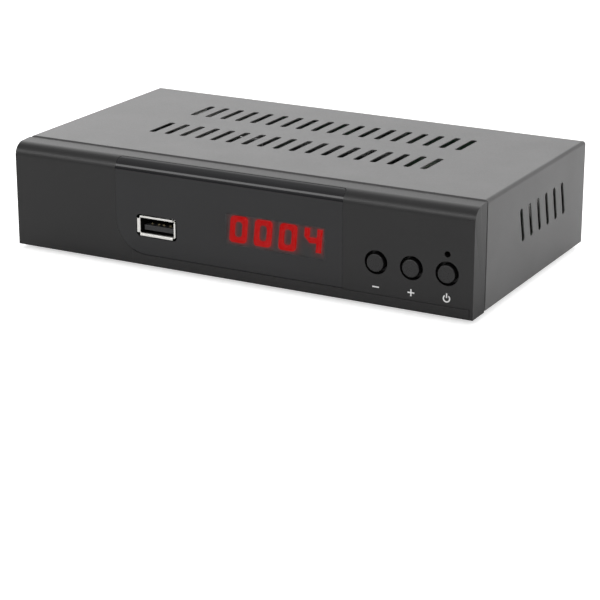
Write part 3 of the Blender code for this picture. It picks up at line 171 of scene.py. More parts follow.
# Lit figures
FIGURES = "0004"
FIGURE_HALF_WIDTH = 0.0031
FIGURE_HALF_HEIGHT = 0.0044
FIGURE_STROKE = 0.0017
FIGURE_ROUND = 0.0013
FIGURE_HOLE_SHARE = 0.9
FIGURE_CUT = 0.002
FIGURE_DROP = 0.0003
FOUR_HALF_HEIGHT = 0.0038
FIGURE_SLANT = math.tan(math.radians(5.0))
FACE_CELL = 0.00035
# Painted glow: red light painted on the display's face round the figures, its reach and its colour
PAINTED_GLOW_REACH = 0.0006
PAINTED_GLOW_COLOUR = (0.21, 0.028, 0.028)

# USB socket
USB_OPENING_MARGIN = 0.0003
USB_OPENING_CORNER = 0.0012
USB_FLARE_DEPTH = 0.0007
USB_WALL = 0.00035
USB_LIP_WALL = 0.0006
USB_SIDE_FLARE = 0.0005
USB_TOP_FLARE = 0.00045
USB_CORNER = 0.0006
USB_LIP_CUT = 0.0012
USB_LIP_STEPS = 6
USB_FINE_EDGE = 0.00008
USB_BLADE_WIDTH = 0.0111
USB_BLADE_THICKNESS = 0.0018
USB_BLADE_LIFT = 0.0004
USB_BLADE_EDGE = 0.00018
USB_CONTACTS = (-0.0035, -0.001, 0.001, 0.0035)
USB_CONTACT_WIDTH = 0.0008
USB_CONTACT_SET_BACK = 0.0016
USB_CONTACT_THICKNESS = 0.0003
USB_CONTACT_SUNK = 0.0001
# Painted shade sleeve in the USB bore: its thickness and how far back it starts
USB_SHADE_SLEEVE = 0.0001
USB_SHADE_SLEEVE_SET_BACK = 0.0006

# Signs under the buttons
SIGN_RISE = 0.0058
SIGN_STROKE = 0.00042
SIGN_BAR = 0.0023
SIGN_RING = 0.00105
SIGN_RING_OPEN = math.radians(36.0)
SIGN_THICKNESS = 0.00003

# Screws, their sizes given as head height and shank radius
LARGE_SCREW = (0.0016, 0.0013)
SMALL_SCREW = (0.0013, 0.001)
SCREW_DOME = ((0.5, 0.00006), (0.8, 0.0002))
SCREW_TIP_SHARE = 0.7
SCREW_EDGE = 0.0005
CROSS_WIDTH = 0.0006
CROSS_REACH = 0.0014
CROSS_DEPTH = 0.0008
THREAD_PITCH = 0.0006
THREAD_DEPTH = 0.0002

# Feet and capacitors
ROUND_SHARE = 0.3
FOOT_EDGE = 0.0005
FOOT_DISH = 0.0003
FOOT_LEDGE_SHARE = 0.72
CAN_EDGE = 0.0005
CAN_BEAD = 0.0003
CAN_BEAD_RISE = 0.0015
CAN_LID_SHARE = 0.78
CAN_LID_FOOT = 0.0002
CAN_LID_TOP = 0.0001

# Rear sockets
AERIAL_RADIUS = 0.0047
AERIAL_THREAD_PITCH = 0.0008
AERIAL_THREAD_DEPTH = 0.0003
AERIAL_TIP_EDGE = 0.0004
AERIAL_WELL = 0.002
AERIAL_CORE = 0.0034
AERIAL_CORE_FRONT = 0.0002
AERIAL_CORE_BACK = 0.0019
AERIAL_BORE = 0.0006
AERIAL_BORE_DEPTH = 0.0018
AERIAL_COLLAR = 0.0008
AERIAL_NUT = 0.0062
AERIAL_NUT_THICKNESS = 0.002
PHONO_WALL = 0.0004
PHONO_RIM = 0.00035
PHONO_RIM_EDGE = 0.0001
PHONO_BORE = 0.0016
PHONO_BORE_DEPTH = 0.007
PHONO_EDGE = 0.0003
PHONO_COLOURS = {
    "video": ("yellow", (0.78, 0.52, 0.02)),
    "audio_left": ("white", (0.72, 0.72, 0.7)),
    "audio_right": ("red", (0.55, 0.02, 0.02)),
}

# Finishes
BROAD_GRAIN = 0.018
WEAR_RANGE = (0.52, 0.62)
# Painted shade: how far ambient occlusion looks, and the range over which it takes gloss away in crevices
PAINTED_SHADE_REACH = 0.0016
PAINTED_SHADE_RANGE = (0.25, 0.6)
FULL_SPECULAR = 0.5
CRYSTALS = 260.0
TRACKS = 420.0

# Room seen in reflections: levels at two ends of a stretch of one axis, then the two ends
LOW_FRONT = (0.3, 0.55, 0.1, 0.3)
HIGH_FRONT = (0.0, 0.2, 0.75, 0.95)
FACING_FRONT = (1.0, 0.0, 0.1, 0.6)
REAR_LEFT = (1.85, 1.32, -0.65, -0.3)
REAR_RIGHT = (1.0, 0.1, -0.3, -0.12)

# Levels of the room's plain light and of the floor's own light, which only the camera sees
ROOM_LIGHT = 0.48
FLOOR_LIGHT = 0.6

# Soft lights: place, target, width, height and watts
OVERHEAD_LIGHT = ((-0.25, 0.4, 1.45), (0.0, 0.0, 0.0), 1.6, 1.2, 18.0)
FRONT_LIGHT = ((-0.4, -1.2, 0.78), (-0.4, 0.0, 0.05), 3.6, 0.4, 14.0)
SIDE_LIGHT = ((0.21, 0.18, 0.1), (0.084, 0.04, 0.02), 0.12, 0.1, 0.17)


def add(name, data):
    """Puts a mesh or other data in the scene as an object."""
    ob = bpy.data.objects.new(name, data)
    bpy.context.scene.collection.objects.link(ob)
    return ob


def add_bmesh(name, bm):
    """Puts a bmesh in the scene as an object, its faces turned outwards."""
    bmesh.ops.recalc_face_normals(bm, faces=bm.faces)
    mesh = bpy.data.meshes.new(name)
    bm.to_mesh(mesh)
    bm.free()
    return add(name, mesh)


def box(name, low, high):
    """Makes a box between two corners."""
    bm = bmesh.new()
    bmesh.ops.create_cube(bm, size=1.0)
    for v in bm.verts:
        v.co = [(a + b) / 2 + (b - a) * c for a, b, c in zip(low, high, v.co)]
    return add_bmesh(name, bm)


def arc(u, v, radius, start, end, steps):
    """Points of an arc, both ends included."""
    turns = [start + (end - start) * i / steps for i in range(steps + 1)]
    return [(u + radius * math.cos(t), v + radius * math.sin(t)) for t in turns]


def circle(u, v, radius, sides=48):
    """Points of a circle."""
    return arc(u, v, radius, 0.0, 2 * math.pi, sides)[:-1]


def rectangle(left, low, right, high):
    """Points of a rectangle."""
    return [(left, low), (right, low), (right, high), (left, high)]


def rounded(u, v, width, height, radius, lean=0.0, steps=5):
    """Outline of a rectangle with round corners, leant over by an angle."""
    a, b = width / 2 - radius, height / 2 - radius
    points = []
    for sign_u, sign_v, quarters in ((1, 1, 0), (-1, 1, 1), (-1, -1, 2), (1, -1, 3)):
        begin = quarters * math.pi / 2
        points += arc(sign_u * a, sign_v * b, radius, begin, begin + math.pi / 2, steps)
    c, s = math.cos(lean), math.sin(lean)
    return [(u + c * p + s * q, v - s * p + c * q) for p, q in points]


def prism(name, outlines, start, end, axis):
    """Extrudes closed outlines along an axis: (y, z) along X, (x, z) along Y or (x, y) along Z."""
    curve = bpy.data.curves.new(name, "CURVE")
    curve.dimensions = "2D"
    curve.fill_mode = "BOTH"
    curve.extrude = (end - start) / 2
    for outline in outlines:
        spline = curve.splines.new("POLY")
        spline.points.add(len(outline) - 1)
        for point, (u, v) in zip(spline.points, outline):
            point.co = (u, v, 0.0, 1.0)
        spline.use_cyclic_u = True
    drawn = add(name, curve)
    turns = {"X": (math.pi / 2, 0.0, math.pi / 2), "Y": (math.pi / 2, 0.0, 0.0), "Z": (0.0, 0.0, 0.0)}
    drawn.rotation_euler = turns[axis]
    drawn.location["XYZ".index(axis)] = (start + end) / 2
    bpy.context.view_layer.update()
    seen = drawn.evaluated_get(bpy.context.evaluated_depsgraph_get())
    mesh = bpy.data.meshes.new_from_object(seen)
    mesh.transform(drawn.matrix_world)
    bpy.data.objects.remove(drawn)
    bpy.data.curves.remove(curve)
    bm = bmesh.new()
    bm.from_mesh(mesh)
    bpy.data.meshes.remove(mesh)
    bmesh.ops.remove_doubles(bm, verts=bm.verts, dist=MERGE / 4)
    return add_bmesh(name, bm)


def turned(name, profile, place, direction, sides=64):
    """Turns a (radius, height) profile about an axis through place, pointing along direction."""
    bm = bmesh.new()
    rings = []
    for radius, height in profile:
        if radius < MERGE / 10:
            rings.append([bm.verts.new((0.0, 0.0, height))])
        else:
            rings.append([bm.verts.new((x, y, height)) for x, y in circle(0.0, 0.0, radius, sides)])
    for first, second in zip(rings, rings[1:]):
        for i in range(sides):
            j = (i + 1) % sides
            corners = [first[i % len(first)], first[j % len(first)]]
            corners += [second[j % len(second)], second[i % len(second)]]
            corners = list(dict.fromkeys(corners))
            if len(corners) > 2:
                bm.faces.new(corners)
    bmesh.ops.remove_doubles(bm, verts=bm.verts, dist=MERGE / 10)
    turn = Vector(direction).to_track_quat("Z", "Y").to_matrix().to_4x4()
    turn.translation = Vector(place)
    bm.transform(turn)
    return add_bmesh(name, bm)


def settle(ob):
    """Applies an object's modifiers to its mesh."""
    bpy.context.view_layer.update()
    seen = ob.evaluated_get(bpy.context.evaluated_depsgraph_get())
    mesh = bpy.data.meshes.new_from_object(seen)
    ob.modifiers.clear()
    ob.data = mesh
    return ob


def shape(target, tool, operation):
    """Applies one exact Boolean to the target and removes the tool."""
    step = target.modifiers.new("Shape", "BOOLEAN")
    step.operation = operation
    step.solver = "EXACT"
    step.object = tool
    settle(target)
    bpy.data.objects.remove(tool)


def cut(target, tool):
    """Takes the tool's volume out of the target."""
    shape(target, tool, "DIFFERENCE")


def join(target, tool):
    """Adds the tool's volume to the target."""
    shape(target, tool, "UNION")


def keep(target, tool):
    """Keeps what the target shares with the tool."""
    shape(target, tool, "INTERSECT")


def round_edges(ob, width, steps, angle):
    """Adds a modifier that rounds the edges sharper than an angle."""
    step = ob.modifiers.new("Round", "BEVEL")
    step.width = width
    step.segments = steps
    step.limit_method = "ANGLE"
    step.angle_limit = math.radians(angle)
    return step


def bevel(ob, width, steps=2, chosen=None, angle=35.0):
    """Rounds edges: the ones whose two ends satisfy a test, or else those sharper than an angle."""
    step = round_edges(ob, width, steps, angle)
    if chosen:
        step.limit_method = "WEIGHT"
        weights = ob.data.attributes.new("bevel_weight_edge", "FLOAT", "EDGE")
        for edge in ob.data.edges:
            first, second = (ob.data.vertices[i].co for i in edge.vertices)
            weights.data[edge.index].value = 1.0 if chosen(first, second) else 0.0
    return settle(ob)


def spread(count, pitch):
    """Places of a row of equal steps about the middle."""
    return [(i - (count - 1) / 2) * pitch for i in range(count)]


def extent(node):
    """Low corner, high corner and middle of a node's box."""
    low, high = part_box(node)
    return low, high, (low + high) / 2


def centre(node):
    """Middle of a node's box."""
    return extent(node)[2]


def put(ob, look, slot, *nodes, body=CASE, angle=PLAIN_EDGE):
    """Gives a piece its material, its shading and its body, and hides the nodes that it stands for; the
    slot is not used.
    """
    ob.data.materials.clear()
    ob.data.materials.append(look)
    ob.data.polygons.foreach_set("use_smooth", [True] * len(ob.data.polygons))
    ob.data.set_sharp_from_angle(angle=math.radians(angle))
    step = ob.modifiers.new("Normals", "WEIGHTED_NORMAL")
    step.keep_sharp = True
    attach(ob, body)
    if nodes:
        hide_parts(*nodes)


def put_turned(name, profile, place, along, look, slot, *nodes, sides=64, body=CASE):
    """Turns a profile about an axis and puts the piece in the scene."""
    piece = turned(name, profile, place, along, sides)
    put(piece, look, slot, *nodes, body=body, angle=TURNED_EDGE)


def dress(look, edge, *nodes):
    """Gives nodes of the frame a material and, where edge isn't zero, softened edges."""
    for node in nodes:
        ob = NODES[node]
        ob.data.materials.clear()
        ob.data.materials.append(look)
        if edge:
            round_edges(ob, edge, 2, SMALL_EDGE)


def folded(name, low, high, radius, rear_bend):
    """Makes a box whose long top edges, and its rear top edge if asked, are bent to a radius."""
    ob = box(name, low, high)

    def bent(a, b):
        on_top = min(a.z, b.z) > high[2] - MERGE
        at_rear = rear_bend and min(a.y, b.y) > high[1] - MERGE
        return on_top and (abs(a.x - b.x) < MERGE or at_rear)

    return bevel(ob, radius, BEND_STEPS, bent)


def cut_vents(cover, places, width, length, lean, axis, face, back=None):
    """Cuts vents out to a face from the back, or from the opposite face, thinned inside round each one."""
    for grown, end in ((0.0, face + OVERRUN), (SLOT_RELIEF, face - SLOT_RIM)):
        slots = [rounded(u, v, width + grown, length + grown, SLOT_CORNER, lean) for u, v in places]
        cut(cover, prism("vents", slots, back or -end, end, axis))


def top_vents(cover):
    """The two rows of vents in the top."""
    across = [x + TOP_SLOT_SHIFT for x in spread(TOP_SLOTS, TOP_SLOT_PITCH)]
    places = [(x, SEAM_Y + row) for row in TOP_ROWS for x in across]
    width, back = SLOT_WIDTH + TOP_SLOT_EXTRA, TOP_Z - SHEET - OVERRUN
    cut_vents(cover, places, width, TOP_SLOT_LENGTH, 0.0, "Z", TOP_Z, back)


def side_vents(cover):
    """The leaning vents in both sides."""
    middle, z = SEAM_Y + SIDE_SLOT_MIDDLE, BASE_Z + SIDE_SLOT_RISE
    places = [(middle + y, z) for y in spread(SIDE_SLOTS, SIDE_SLOT_PITCH)]
    cut_vents(cover, places, SLOT_WIDTH, SIDE_SLOT_LENGTH, -SIDE_SLOT_LEAN, "X", HALF_WIDTH)


def make_cover(look):
    """The folded steel cover with its vents."""
    half, low_z = HALF_WIDTH, COVER_LOW.z
    cover = folded("cover", (-half, COVER_LOW.y, low_z), (half, REAR_Y, TOP_Z), BEND_RADIUS, True)
    low = (-half + SHEET, COVER_LOW.y - OVERRUN, low_z - OVERRUN)
    high = (half - SHEET, REAR_Y - SHEET, TOP_Z - SHEET)
    cut(cover, folded("inside", low, high, BEND_RADIUS - SHEET, False))
    wide, narrow = half - SHEET - GAP, half - SHEET - FLANGE_SLIT
    slit_z, below, flange_z = TOP_Z - BEND_RADIUS, low_z - OVERRUN, TOP_Z - FLANGE_HEIGHT
    arch = [(-wide, below), (wide, below), (wide, slit_z), (narrow, slit_z), (narrow, flange_z)]
    arch += [(-narrow, flange_z), (-narrow, slit_z), (-wide, slit_z)]
    cut(cover, prism("arch", [arch], REAR_Y - SHEET - OVERRUN, REAR_Y + OVERRUN, "Y"))

    def front_rim(a, b):
        at_front = max(a.y, b.y) < COVER_LOW.y + MERGE
        outer = min(abs(a.x), abs(b.x)) > half - BEND_RADIUS - MERGE or min(a.z, b.z) > TOP_Z - MERGE
        inner = max(abs(a.x), abs(b.x)) < half - SHEET + MERGE and max(a.z, b.z) < TOP_Z - SHEET + MERGE
        return at_front and outer and not inner

    bevel(cover, COVER_EDGE, 3, front_rim)
    top_vents(cover)
    side_vents(cover)
    put(cover, look, "cover_paint", "top_cover")


def front_profile(inset, back):
    """Side outline (y, z) of the front, drawn in by inset and run back to y = back."""
    radius, rise = CORNER_RADIUS, math.sin(TOP_SLOPE)
    seam_z = TOP_Z - COVER_PROUD
    centre_y = FACE_Y + radius
    centre_z = seam_z + (rise * (centre_y - SEAM_Y) - radius) / math.cos(TOP_SLOPE)
    top_z = seam_z + (rise * (back - SEAM_Y) - inset) / math.cos(TOP_SLOPE)
    corner = arc(centre_y, centre_z, radius - inset, math.pi, math.pi / 2 + TOP_SLOPE, CORNER_STEPS)
    low = BASE_Z + inset
    return [(back, low), (FACE_Y + inset, low)] + corner + [(back, top_z)]


def window_outline(margin):
    """Front outline (x, z) of the window, grown by a margin; its top runs past the case."""
    left, right = WINDOW_LOW.x - margin, WINDOW_HIGH.x + margin
    low = WINDOW_LOW.z - margin
    radius = WINDOW_CORNER + margin
    corner = arc(left + radius, low + radius, radius, math.pi, 1.5 * math.pi, 24)
    return corner + [(right, low), (right, TOP_Z + OVERRUN), (left, TOP_Z + OVERRUN)]


def window_plan(side, top):
    """Plan outline (x, y) of the window with round rear corners, grown at its sides and its top."""
    left, right = WINDOW_LOW.x - side, WINDOW_HIGH.x + side
    front, back = FACE_Y - OVERRUN, WINDOW_HIGH.y + top
    radius = WINDOW_PLAN_CORNER
    corners = arc(right - radius, back - radius, radius, 0.0, math.pi / 2, 8)
    corners += arc(left + radius, back - radius, radius, math.pi / 2, math.pi, 8)
    return [(left, front), (right, front)] + corners


def usb_opening():
    """Outline (x, z) of the hole round the USB socket's mouth."""
    low, high, middle = extent("usb_shell")
    width, height = high.x - low.x + 2 * USB_OPENING_MARGIN, high.z - low.z + 2 * USB_OPENING_MARGIN
    return rounded(middle.x, middle.z, width, height, USB_OPENING_CORNER)


def make_lip():
    """The raised lip along the foot of the front, curling up at its left end."""
    centre_x, centre_z = WINDOW_LOW.x + WINDOW_CORNER, WINDOW_LOW.z + WINDOW_CORNER
    low, top = BASE_Z + LIP_FOOT, BASE_Z + LIP_TOP
    reach = WINDOW_CORNER - WINDOW_SLIT
    right = HALF_WIDTH - LIP_SET_IN
    curl = arc(centre_x, centre_z, reach, 1.5 * math.pi, 1.5 * math.pi - LIP_CURL, 10)
    outline = [(curl[-1][0], low), (right, low), (right, top), (WINDOW_HIGH.x, top)]
    outline += [(WINDOW_HIGH.x, curl[0][1])] + curl
    lip = prism("lip", [outline], FACE_Y - LIP_PROUD, FACE_Y + FRONT_WALL / 2, "Y")
    return bevel(lip, LIP_EDGE, 3)


def front_openings():
    """Outlines (x, z) of the holes through the front's wall."""
    places = [centre(f"{name}_button") for name in BUTTONS]
    holes = [circle(p.x, p.z, BUTTON_HOLE_RADIUS) for p in places]
    lamp = centre("standby_lamp")
    holes.append(circle(lamp.x, lamp.z, LAMP_HOLE_RADIUS, 24))
    low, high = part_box("display_module")
    eye_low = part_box("infrared_receiver")[0]
    opening = rectangle(eye_low.x - GAP, low.z - GAP, high.x + GAP, high.z + GAP)
    return holes + [opening, usb_opening()]


def make_front(look):
    """The moulded front: a hollow shell with its lip, its window recess and its holes."""
    half, inner, reach = HALF_WIDTH, HALF_WIDTH - FRONT_WALL, HALF_WIDTH - REBATE_DEPTH
    back = SEAM_Y - REBATE
    front = prism("front", [front_profile(0.0, back)], -half, half, "X")

    def rounded_edge(a, b):
        if max(a.y, b.y) > back - MERGE and abs(a.y - b.y) < MERGE:
            return False
        at_end = min(abs(a.x), abs(b.x)) > half - MERGE and abs(a.x - b.x) < MERGE
        foot = max(a.z, b.z) < BASE_Z + MERGE and max(a.y, b.y) < FACE_Y + MERGE
        return at_end or foot

    bevel(front, END_ROUND, END_STEPS, rounded_edge)
    join(front, prism("rim", [front_profile(REBATE_DEPTH, SEAM_Y)], -reach, reach, "X"))
    cut(front, prism("inside", [front_profile(FRONT_WALL, SEAM_Y + OVERRUN)], -inner, inner, "X"))
    join(front, make_lip())
    pocket = prism("pocket", [window_plan(WINDOW_SLIT, WINDOW_TOP_SLIT)], BASE_Z, TOP_Z + OVERRUN, "Z")
    keep(pocket, prism("pocket_front", [window_outline(WINDOW_SLIT)], FACE_Y - OVERRUN, SEAM_Y, "Y"))
    floor = front_profile(WINDOW_THICKNESS + GAP, SEAM_Y + OVERRUN)
    cut(pocket, prism("pocket_floor", [floor], -half, half, "X"))
    cut(front, pocket)
    cut(front, prism("holes", front_openings(), FACE_Y - OVERRUN, FACE_Y + FRONT_WALL + OVERRUN, "Y"))
    put(front, look, "front_plastic", "front_bezel", angle=FRONT_EDGE)


def make_window(look):
    """The glossy window, which follows the front's skin up over its top corner."""
    half = HALF_WIDTH
    window = prism("window", [window_plan(0.0, 0.0)], BASE_Z, TOP_Z + OVERRUN, "Z")
    keep(window, prism("window_front", [window_outline(0.0)], FACE_Y - OVERRUN, SEAM_Y, "Y"))
    keep(window, prism("window_skin", [front_profile(0.0, SEAM_Y)], -half, half, "X"))
    core = front_profile(WINDOW_THICKNESS, SEAM_Y + OVERRUN)
    cut(window, prism("window_core", [core], -half, half, "X"))
    cut(window, prism("usb_hole", [usb_opening()], FACE_Y - OVERRUN, FACE_Y + FRONT_WALL, "Y"))
    bevel(window, WINDOW_EDGE, 3, angle=STEEP_EDGE)
    put(window, look, "window_plastic", "display_window", angle=FRONT_EDGE)


def make_buttons(look):
    """The three push buttons, each with a slightly dished top."""
    for name in BUTTONS:
        node = f"{name}_button"
        low, high, middle = extent(node)
        proud, flange = FACE_Y - low.y, FACE_Y - high.y
        wide = (high.x - low.x) / 2
        rim = BUTTON_RADIUS - BUTTON_FILLET
        step = flange + BUTTON_FLANGE
        dish = BUTTON_DISH_SHARE
        profile = [(0.0, proud - BUTTON_DISH), (rim * dish, proud - BUTTON_DISH * dish)]
        profile += [
            (rim + BUTTON_FILLET * math.sin(t), proud - BUTTON_FILLET * (1 - math.cos(t)))
            for t in [math.pi / 2 * i / 6 for i in range(7)]
        ]
        profile += [(BUTTON_RADIUS, step), (wide, step), (wide, flange), (0.0, flange)]
        place, body = (middle.x, FACE_Y, middle.z), NODES[node]["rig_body"]
        put_turned(f"{name}_cap", profile, place, FORWARD, look, "button_plastic", node, body=body)


def figure_outlines(figure, x, z):
    """Outlines (x, z) of one leaning figure made of joined strokes."""
    a, h, s, r = FIGURE_HALF_WIDTH, FIGURE_HALF_HEIGHT, FIGURE_STROKE, FIGURE_ROUND
    if figure == "0":
        z -= FIGURE_DROP
        hole = rounded(0.0, 0.0, 2 * (a - s), 2 * (h - s), FIGURE_HOLE_SHARE * (a - s))
        outlines = [rounded(0.0, 0.0, 2 * a, 2 * h, r), hole]
    else:
        b, h = s / 2, FOUR_HALF_HEIGHT
        four = [(-a, h), (s - a, h), (s - a, b), (a - s, b), (a - s, h), (a, h), (a, -h), (a - s, -h)]
        outlines = [four + [(a - s, -b), (FIGURE_CUT - a, -b), (-a, FIGURE_CUT - b)]]
    return [[(x + p + FIGURE_SLANT * q, z + q) for p, q in outline] for outline in outlines]


def all_figures():
    """Each lit figure's node and its outlines."""
    found = []
    for i, figure in enumerate(FIGURES):
        node = f"display_digit_{i + 1}"
        middle = centre(node)
        found.append((node, figure_outlines(figure, middle.x, middle.z)))
    return found


def make_figures(look):
    """The four lit figures of the display."""
    for node, outlines in all_figures():
        low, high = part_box(node)
        figure = prism(node.replace("digit", "figure"), outlines, low.y, high.y, "Y")
        put(figure, look, "red_light", node)


def distance_to_line(x, z, a, b):
    """Distance in the (x, z) plane from a point to the line between two points."""
    run_x, run_z = b[0] - a[0], b[1] - a[1]
    along = ((x - a[0]) * run_x + (z - a[1]) * run_z) / (run_x * run_x + run_z * run_z)
    along = min(1.0, max(0.0, along))
    return math.hypot(x - a[0] - along * run_x, z - a[1] - along * run_z)


def make_display_face(look):
    """The display's dark face, with the strength of the red glow painted round the figures stored at each
    point.
    """
    low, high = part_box("display_module")
    columns = round((high.x - low.x) / FACE_CELL)
    rows = round((high.z - low.z) / FACE_CELL)
    bm = bmesh.new()
    grid = []
    for j in range(rows + 1):
        z = low.z + (high.z - low.z) * j / rows
        across = [low.x + (high.x - low.x) * i / columns for i in range(columns + 1)]
        grid.append([bm.verts.new((x, low.y, z)) for x in across])
    for lower, upper in zip(grid, grid[1:]):
        for i in range(columns):
            bm.faces.new((lower[i], lower[i + 1], upper[i + 1], upper[i]))
    rim = [edge for edge in bm.edges if edge.is_boundary]
    for item in bmesh.ops.extrude_edge_only(bm, edges=rim)["geom"]:
        if isinstance(item, bmesh.types.BMVert):
            item.co.y = high.y
    bmesh.ops.holes_fill(bm, edges=[edge for edge in bm.edges if edge.is_boundary], sides=0)
    face = add_bmesh("display_face", bm)
    lines = []
    for _, outlines in all_figures():
        for outline in outlines:
            lines += zip(outline, outline[1:] + outline[:1])
    # Painted glow: the red light painted on the face fades with distance from the figures' strokes
    glow = face.data.attributes.new("glow", "FLOAT", "POINT")
    for vertex in face.data.vertices:
        nearest = min(distance_to_line(vertex.co.x, vertex.co.z, a, b) for a, b in lines)
        glow.data[vertex.index].value = math.exp(-nearest / PAINTED_GLOW_REACH)
    put(face, look, "black_plastic", "display_module")


def make_signs(look):
    """Generic signs printed under the buttons: minus, plus, and on and off."""
    z = BASE_Z + SIGN_RISE
    down, up, power = (centre(f"{name}_button").x for name in BUTTONS)
    a, b = SIGN_BAR / 2, SIGN_STROKE / 2
    minus = rectangle(down - a, z - b, down + a, z + b)
    quarter = [(a, -b), (a, b), (b, b), (b, a), (-b, a), (-b, b), (-a, b), (-a, -b), (-b, -b)]
    quarter += [(-b, -a), (b, -a), (b, -b)]
    plus = [(up + p, z + q) for p, q in quarter]
    begin, end = math.pi / 2 + SIGN_RING_OPEN, 2.5 * math.pi - SIGN_RING_OPEN
    ring = arc(power, z, SIGN_RING + b, begin, end, 36) + arc(power, z, SIGN_RING - b, end, begin, 36)
    bar = rectangle(power - b, z + b, power + b, z + SIGN_RING + 3 * b)
    signs = (("minus_sign", [minus]), ("plus_sign", [plus]), ("power_sign", [ring, bar]))
    for name, outlines in signs:
        ob = prism(name, outlines, FACE_Y - SIGN_THICKNESS, FACE_Y + SIGN_THICKNESS, "Y")
        put(ob, look, "white_plastic")


def usb_lip(name, middle, half_root, half_tip, root, tip, side, front):
    """One flared lip of the USB shell, bent outwards to one of its four sides."""
    steps = USB_LIP_STEPS
    bm = bmesh.new()
    verts = []
    for i in range(steps + 1):
        t = i / steps
        y = front + USB_FLARE_DEPTH * (1 - t)
        lift = root + (tip - root) * t * t
        half = half_root + (half_tip - half_root) * t
        for across in (-half, half):
            for rise in (lift, lift - USB_LIP_WALL):
                out = rise if side in ("top", "right") else -rise
                x, z = (across, out) if side in ("top", "bottom") else (out, across)
                verts.append(bm.verts.new((middle.x + x, y, middle.z + z)))
    for i in range(steps):
        near, far = 4 * i, 4 * i + 4
        for p, q in ((0, 2), (2, 3), (3, 1), (1, 0)):
            bm.faces.new((verts[near + p], verts[near + q], verts[far + q], verts[far + p]))
    bm.faces.new([verts[i] for i in (0, 1, 3, 2)])
    last = 4 * steps
    bm.faces.new([verts[last + i] for i in (0, 2, 3, 1)])
    return bevel(add_bmesh(name, bm), USB_FINE_EDGE, angle=STEEP_EDGE)


def make_usb_shell(metal, plastic):
    """The USB socket's shell with its four flared lips, and a thin matte black sleeve in its bore as
    painted shade.
    """
    low, high, middle = extent("usb_shell")
    half_x, half_z = (high.x - low.x) / 2, (high.z - low.z) / 2
    root_x, root_z = half_x - USB_SIDE_FLARE, half_z - USB_TOP_FLARE
    outer = rounded(middle.x, middle.z, 2 * root_x, 2 * root_z, USB_CORNER)
    bore_x, bore_z, edge = root_x - USB_WALL, root_z - USB_WALL, USB_CORNER - USB_WALL
    inner = rounded(middle.x, middle.z, 2 * bore_x, 2 * bore_z, edge)
    shell = prism("usb_socket", [outer, inner], low.y + USB_FLARE_DEPTH, high.y, "Y")
    join(shell, prism("usb_back", [outer], high.y - USB_WALL, high.y, "Y"))
    put(shell, metal, "nickel", "usb_shell")
    # Painted shade: a nearly black, barely glossy sleeve lines the bore, where there is only shade
    outside = rounded(middle.x, middle.z, 2 * bore_x - MERGE, 2 * bore_z - MERGE, edge)
    width, height = 2 * (bore_x - USB_SHADE_SLEEVE), 2 * (bore_z - USB_SHADE_SLEEVE)
    inside = rounded(middle.x, middle.z, width, height, edge - USB_SHADE_SLEEVE)
    painted_shade_sleeve = prism("usb_painted_shade_sleeve", [outside, inside], low.y + USB_SHADE_SLEEVE_SET_BACK, high.y - USB_WALL, "Y")
    put(painted_shade_sleeve, plastic, "black_plastic")
    flat, upright = (root_x, root_z, half_z), (root_z, root_x, half_x)
    for side, sizes in (("top", flat), ("bottom", flat), ("left", upright), ("right", upright)):
        along, root, tip = sizes
        half_root, half_tip = along - USB_CORNER, along - USB_LIP_CUT / 2
        lip = usb_lip(f"usb_lip_{side}", middle, half_root, half_tip, root, tip, side, low.y)
        put(lip, metal, "nickel", angle=SMALL_EDGE)


def make_usb_tongue(plastic, metal):
    """The USB socket's tongue and the four contacts on it."""
    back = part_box("usb_shell")[1].y - USB_WALL
    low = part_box("usb_tongue")[0]
    x, half = centre("usb_shell").x, USB_BLADE_WIDTH / 2
    blade_z = low.z + USB_BLADE_LIFT
    top_z = blade_z + USB_BLADE_THICKNESS
    blade = box("usb_blade", (x - half, low.y, blade_z), (x + half, back, top_z))
    put(bevel(blade, USB_BLADE_EDGE, 3), plastic, "white_plastic", "usb_tongue", angle=SMALL_EDGE)
    front = low.y + USB_CONTACT_SET_BACK
    for i, place in enumerate(USB_CONTACTS):
        contact_low = (x + place - USB_CONTACT_WIDTH / 2, front, top_z - USB_CONTACT_SUNK)
        contact_high = (x + place + USB_CONTACT_WIDTH / 2, back, top_z + USB_CONTACT_THICKNESS)
        contact = bevel(box(f"usb_contact_{i + 1}", contact_low, contact_high), USB_FINE_EDGE)
        put(contact, metal, "nickel", angle=SMALL_EDGE)


def make_screw(node, look, slot, direction, head_height, shank_radius):
    """A cross-headed screw with its thread, standing for a node."""
    low, high, middle = extent(node)
    along = Vector(direction)
    size = high - low
    length, radius = size.dot(along), size.x / 2
    top = middle + along * (length / 2)
    profile = [(0.0, 0.0)] + [(radius * share, -drop) for share, drop in SCREW_DOME]
    profile += [(radius, -SCREW_EDGE), (radius, -head_height), (shank_radius, -head_height)]
    height = -head_height - THREAD_PITCH
    while height > -length + THREAD_PITCH:
        profile.append((shank_radius, height))
        profile.append((shank_radius - THREAD_DEPTH, height - THREAD_PITCH / 2))
        height -= THREAD_PITCH
    profile += [(shank_radius * SCREW_TIP_SHARE, -length), (0.0, -length)]
    screw = turned(f"{node}_turned", profile, top, direction, 32)
    first = Vector((1.0, 0.0, 0.0))
    second = Vector([abs(c) for c in along.cross(first)])
    for wide, narrow in ((first, second), (second, first)):
        reach = wide * CROSS_REACH + narrow * (CROSS_WIDTH / 2)
        cut(screw, box("arm", top - reach - along * CROSS_DEPTH, top + reach + along * OVERRUN))
    put(screw, look, slot, node, angle=TURNED_EDGE)


def make_screws(dark, bright):
    """All the screws, with cross heads."""
    for place in ("left", "middle", "right"):
        make_screw(f"cover_screw_{place}", dark, "screw_steel", BACK, *LARGE_SCREW)
        make_screw(f"front_board_screw_{place}", bright, "plated_steel", BACK, *SMALL_SCREW)
    for place in CORNERS:
        make_screw(f"board_screw_{place}", bright, "plated_steel", UP, *LARGE_SCREW)


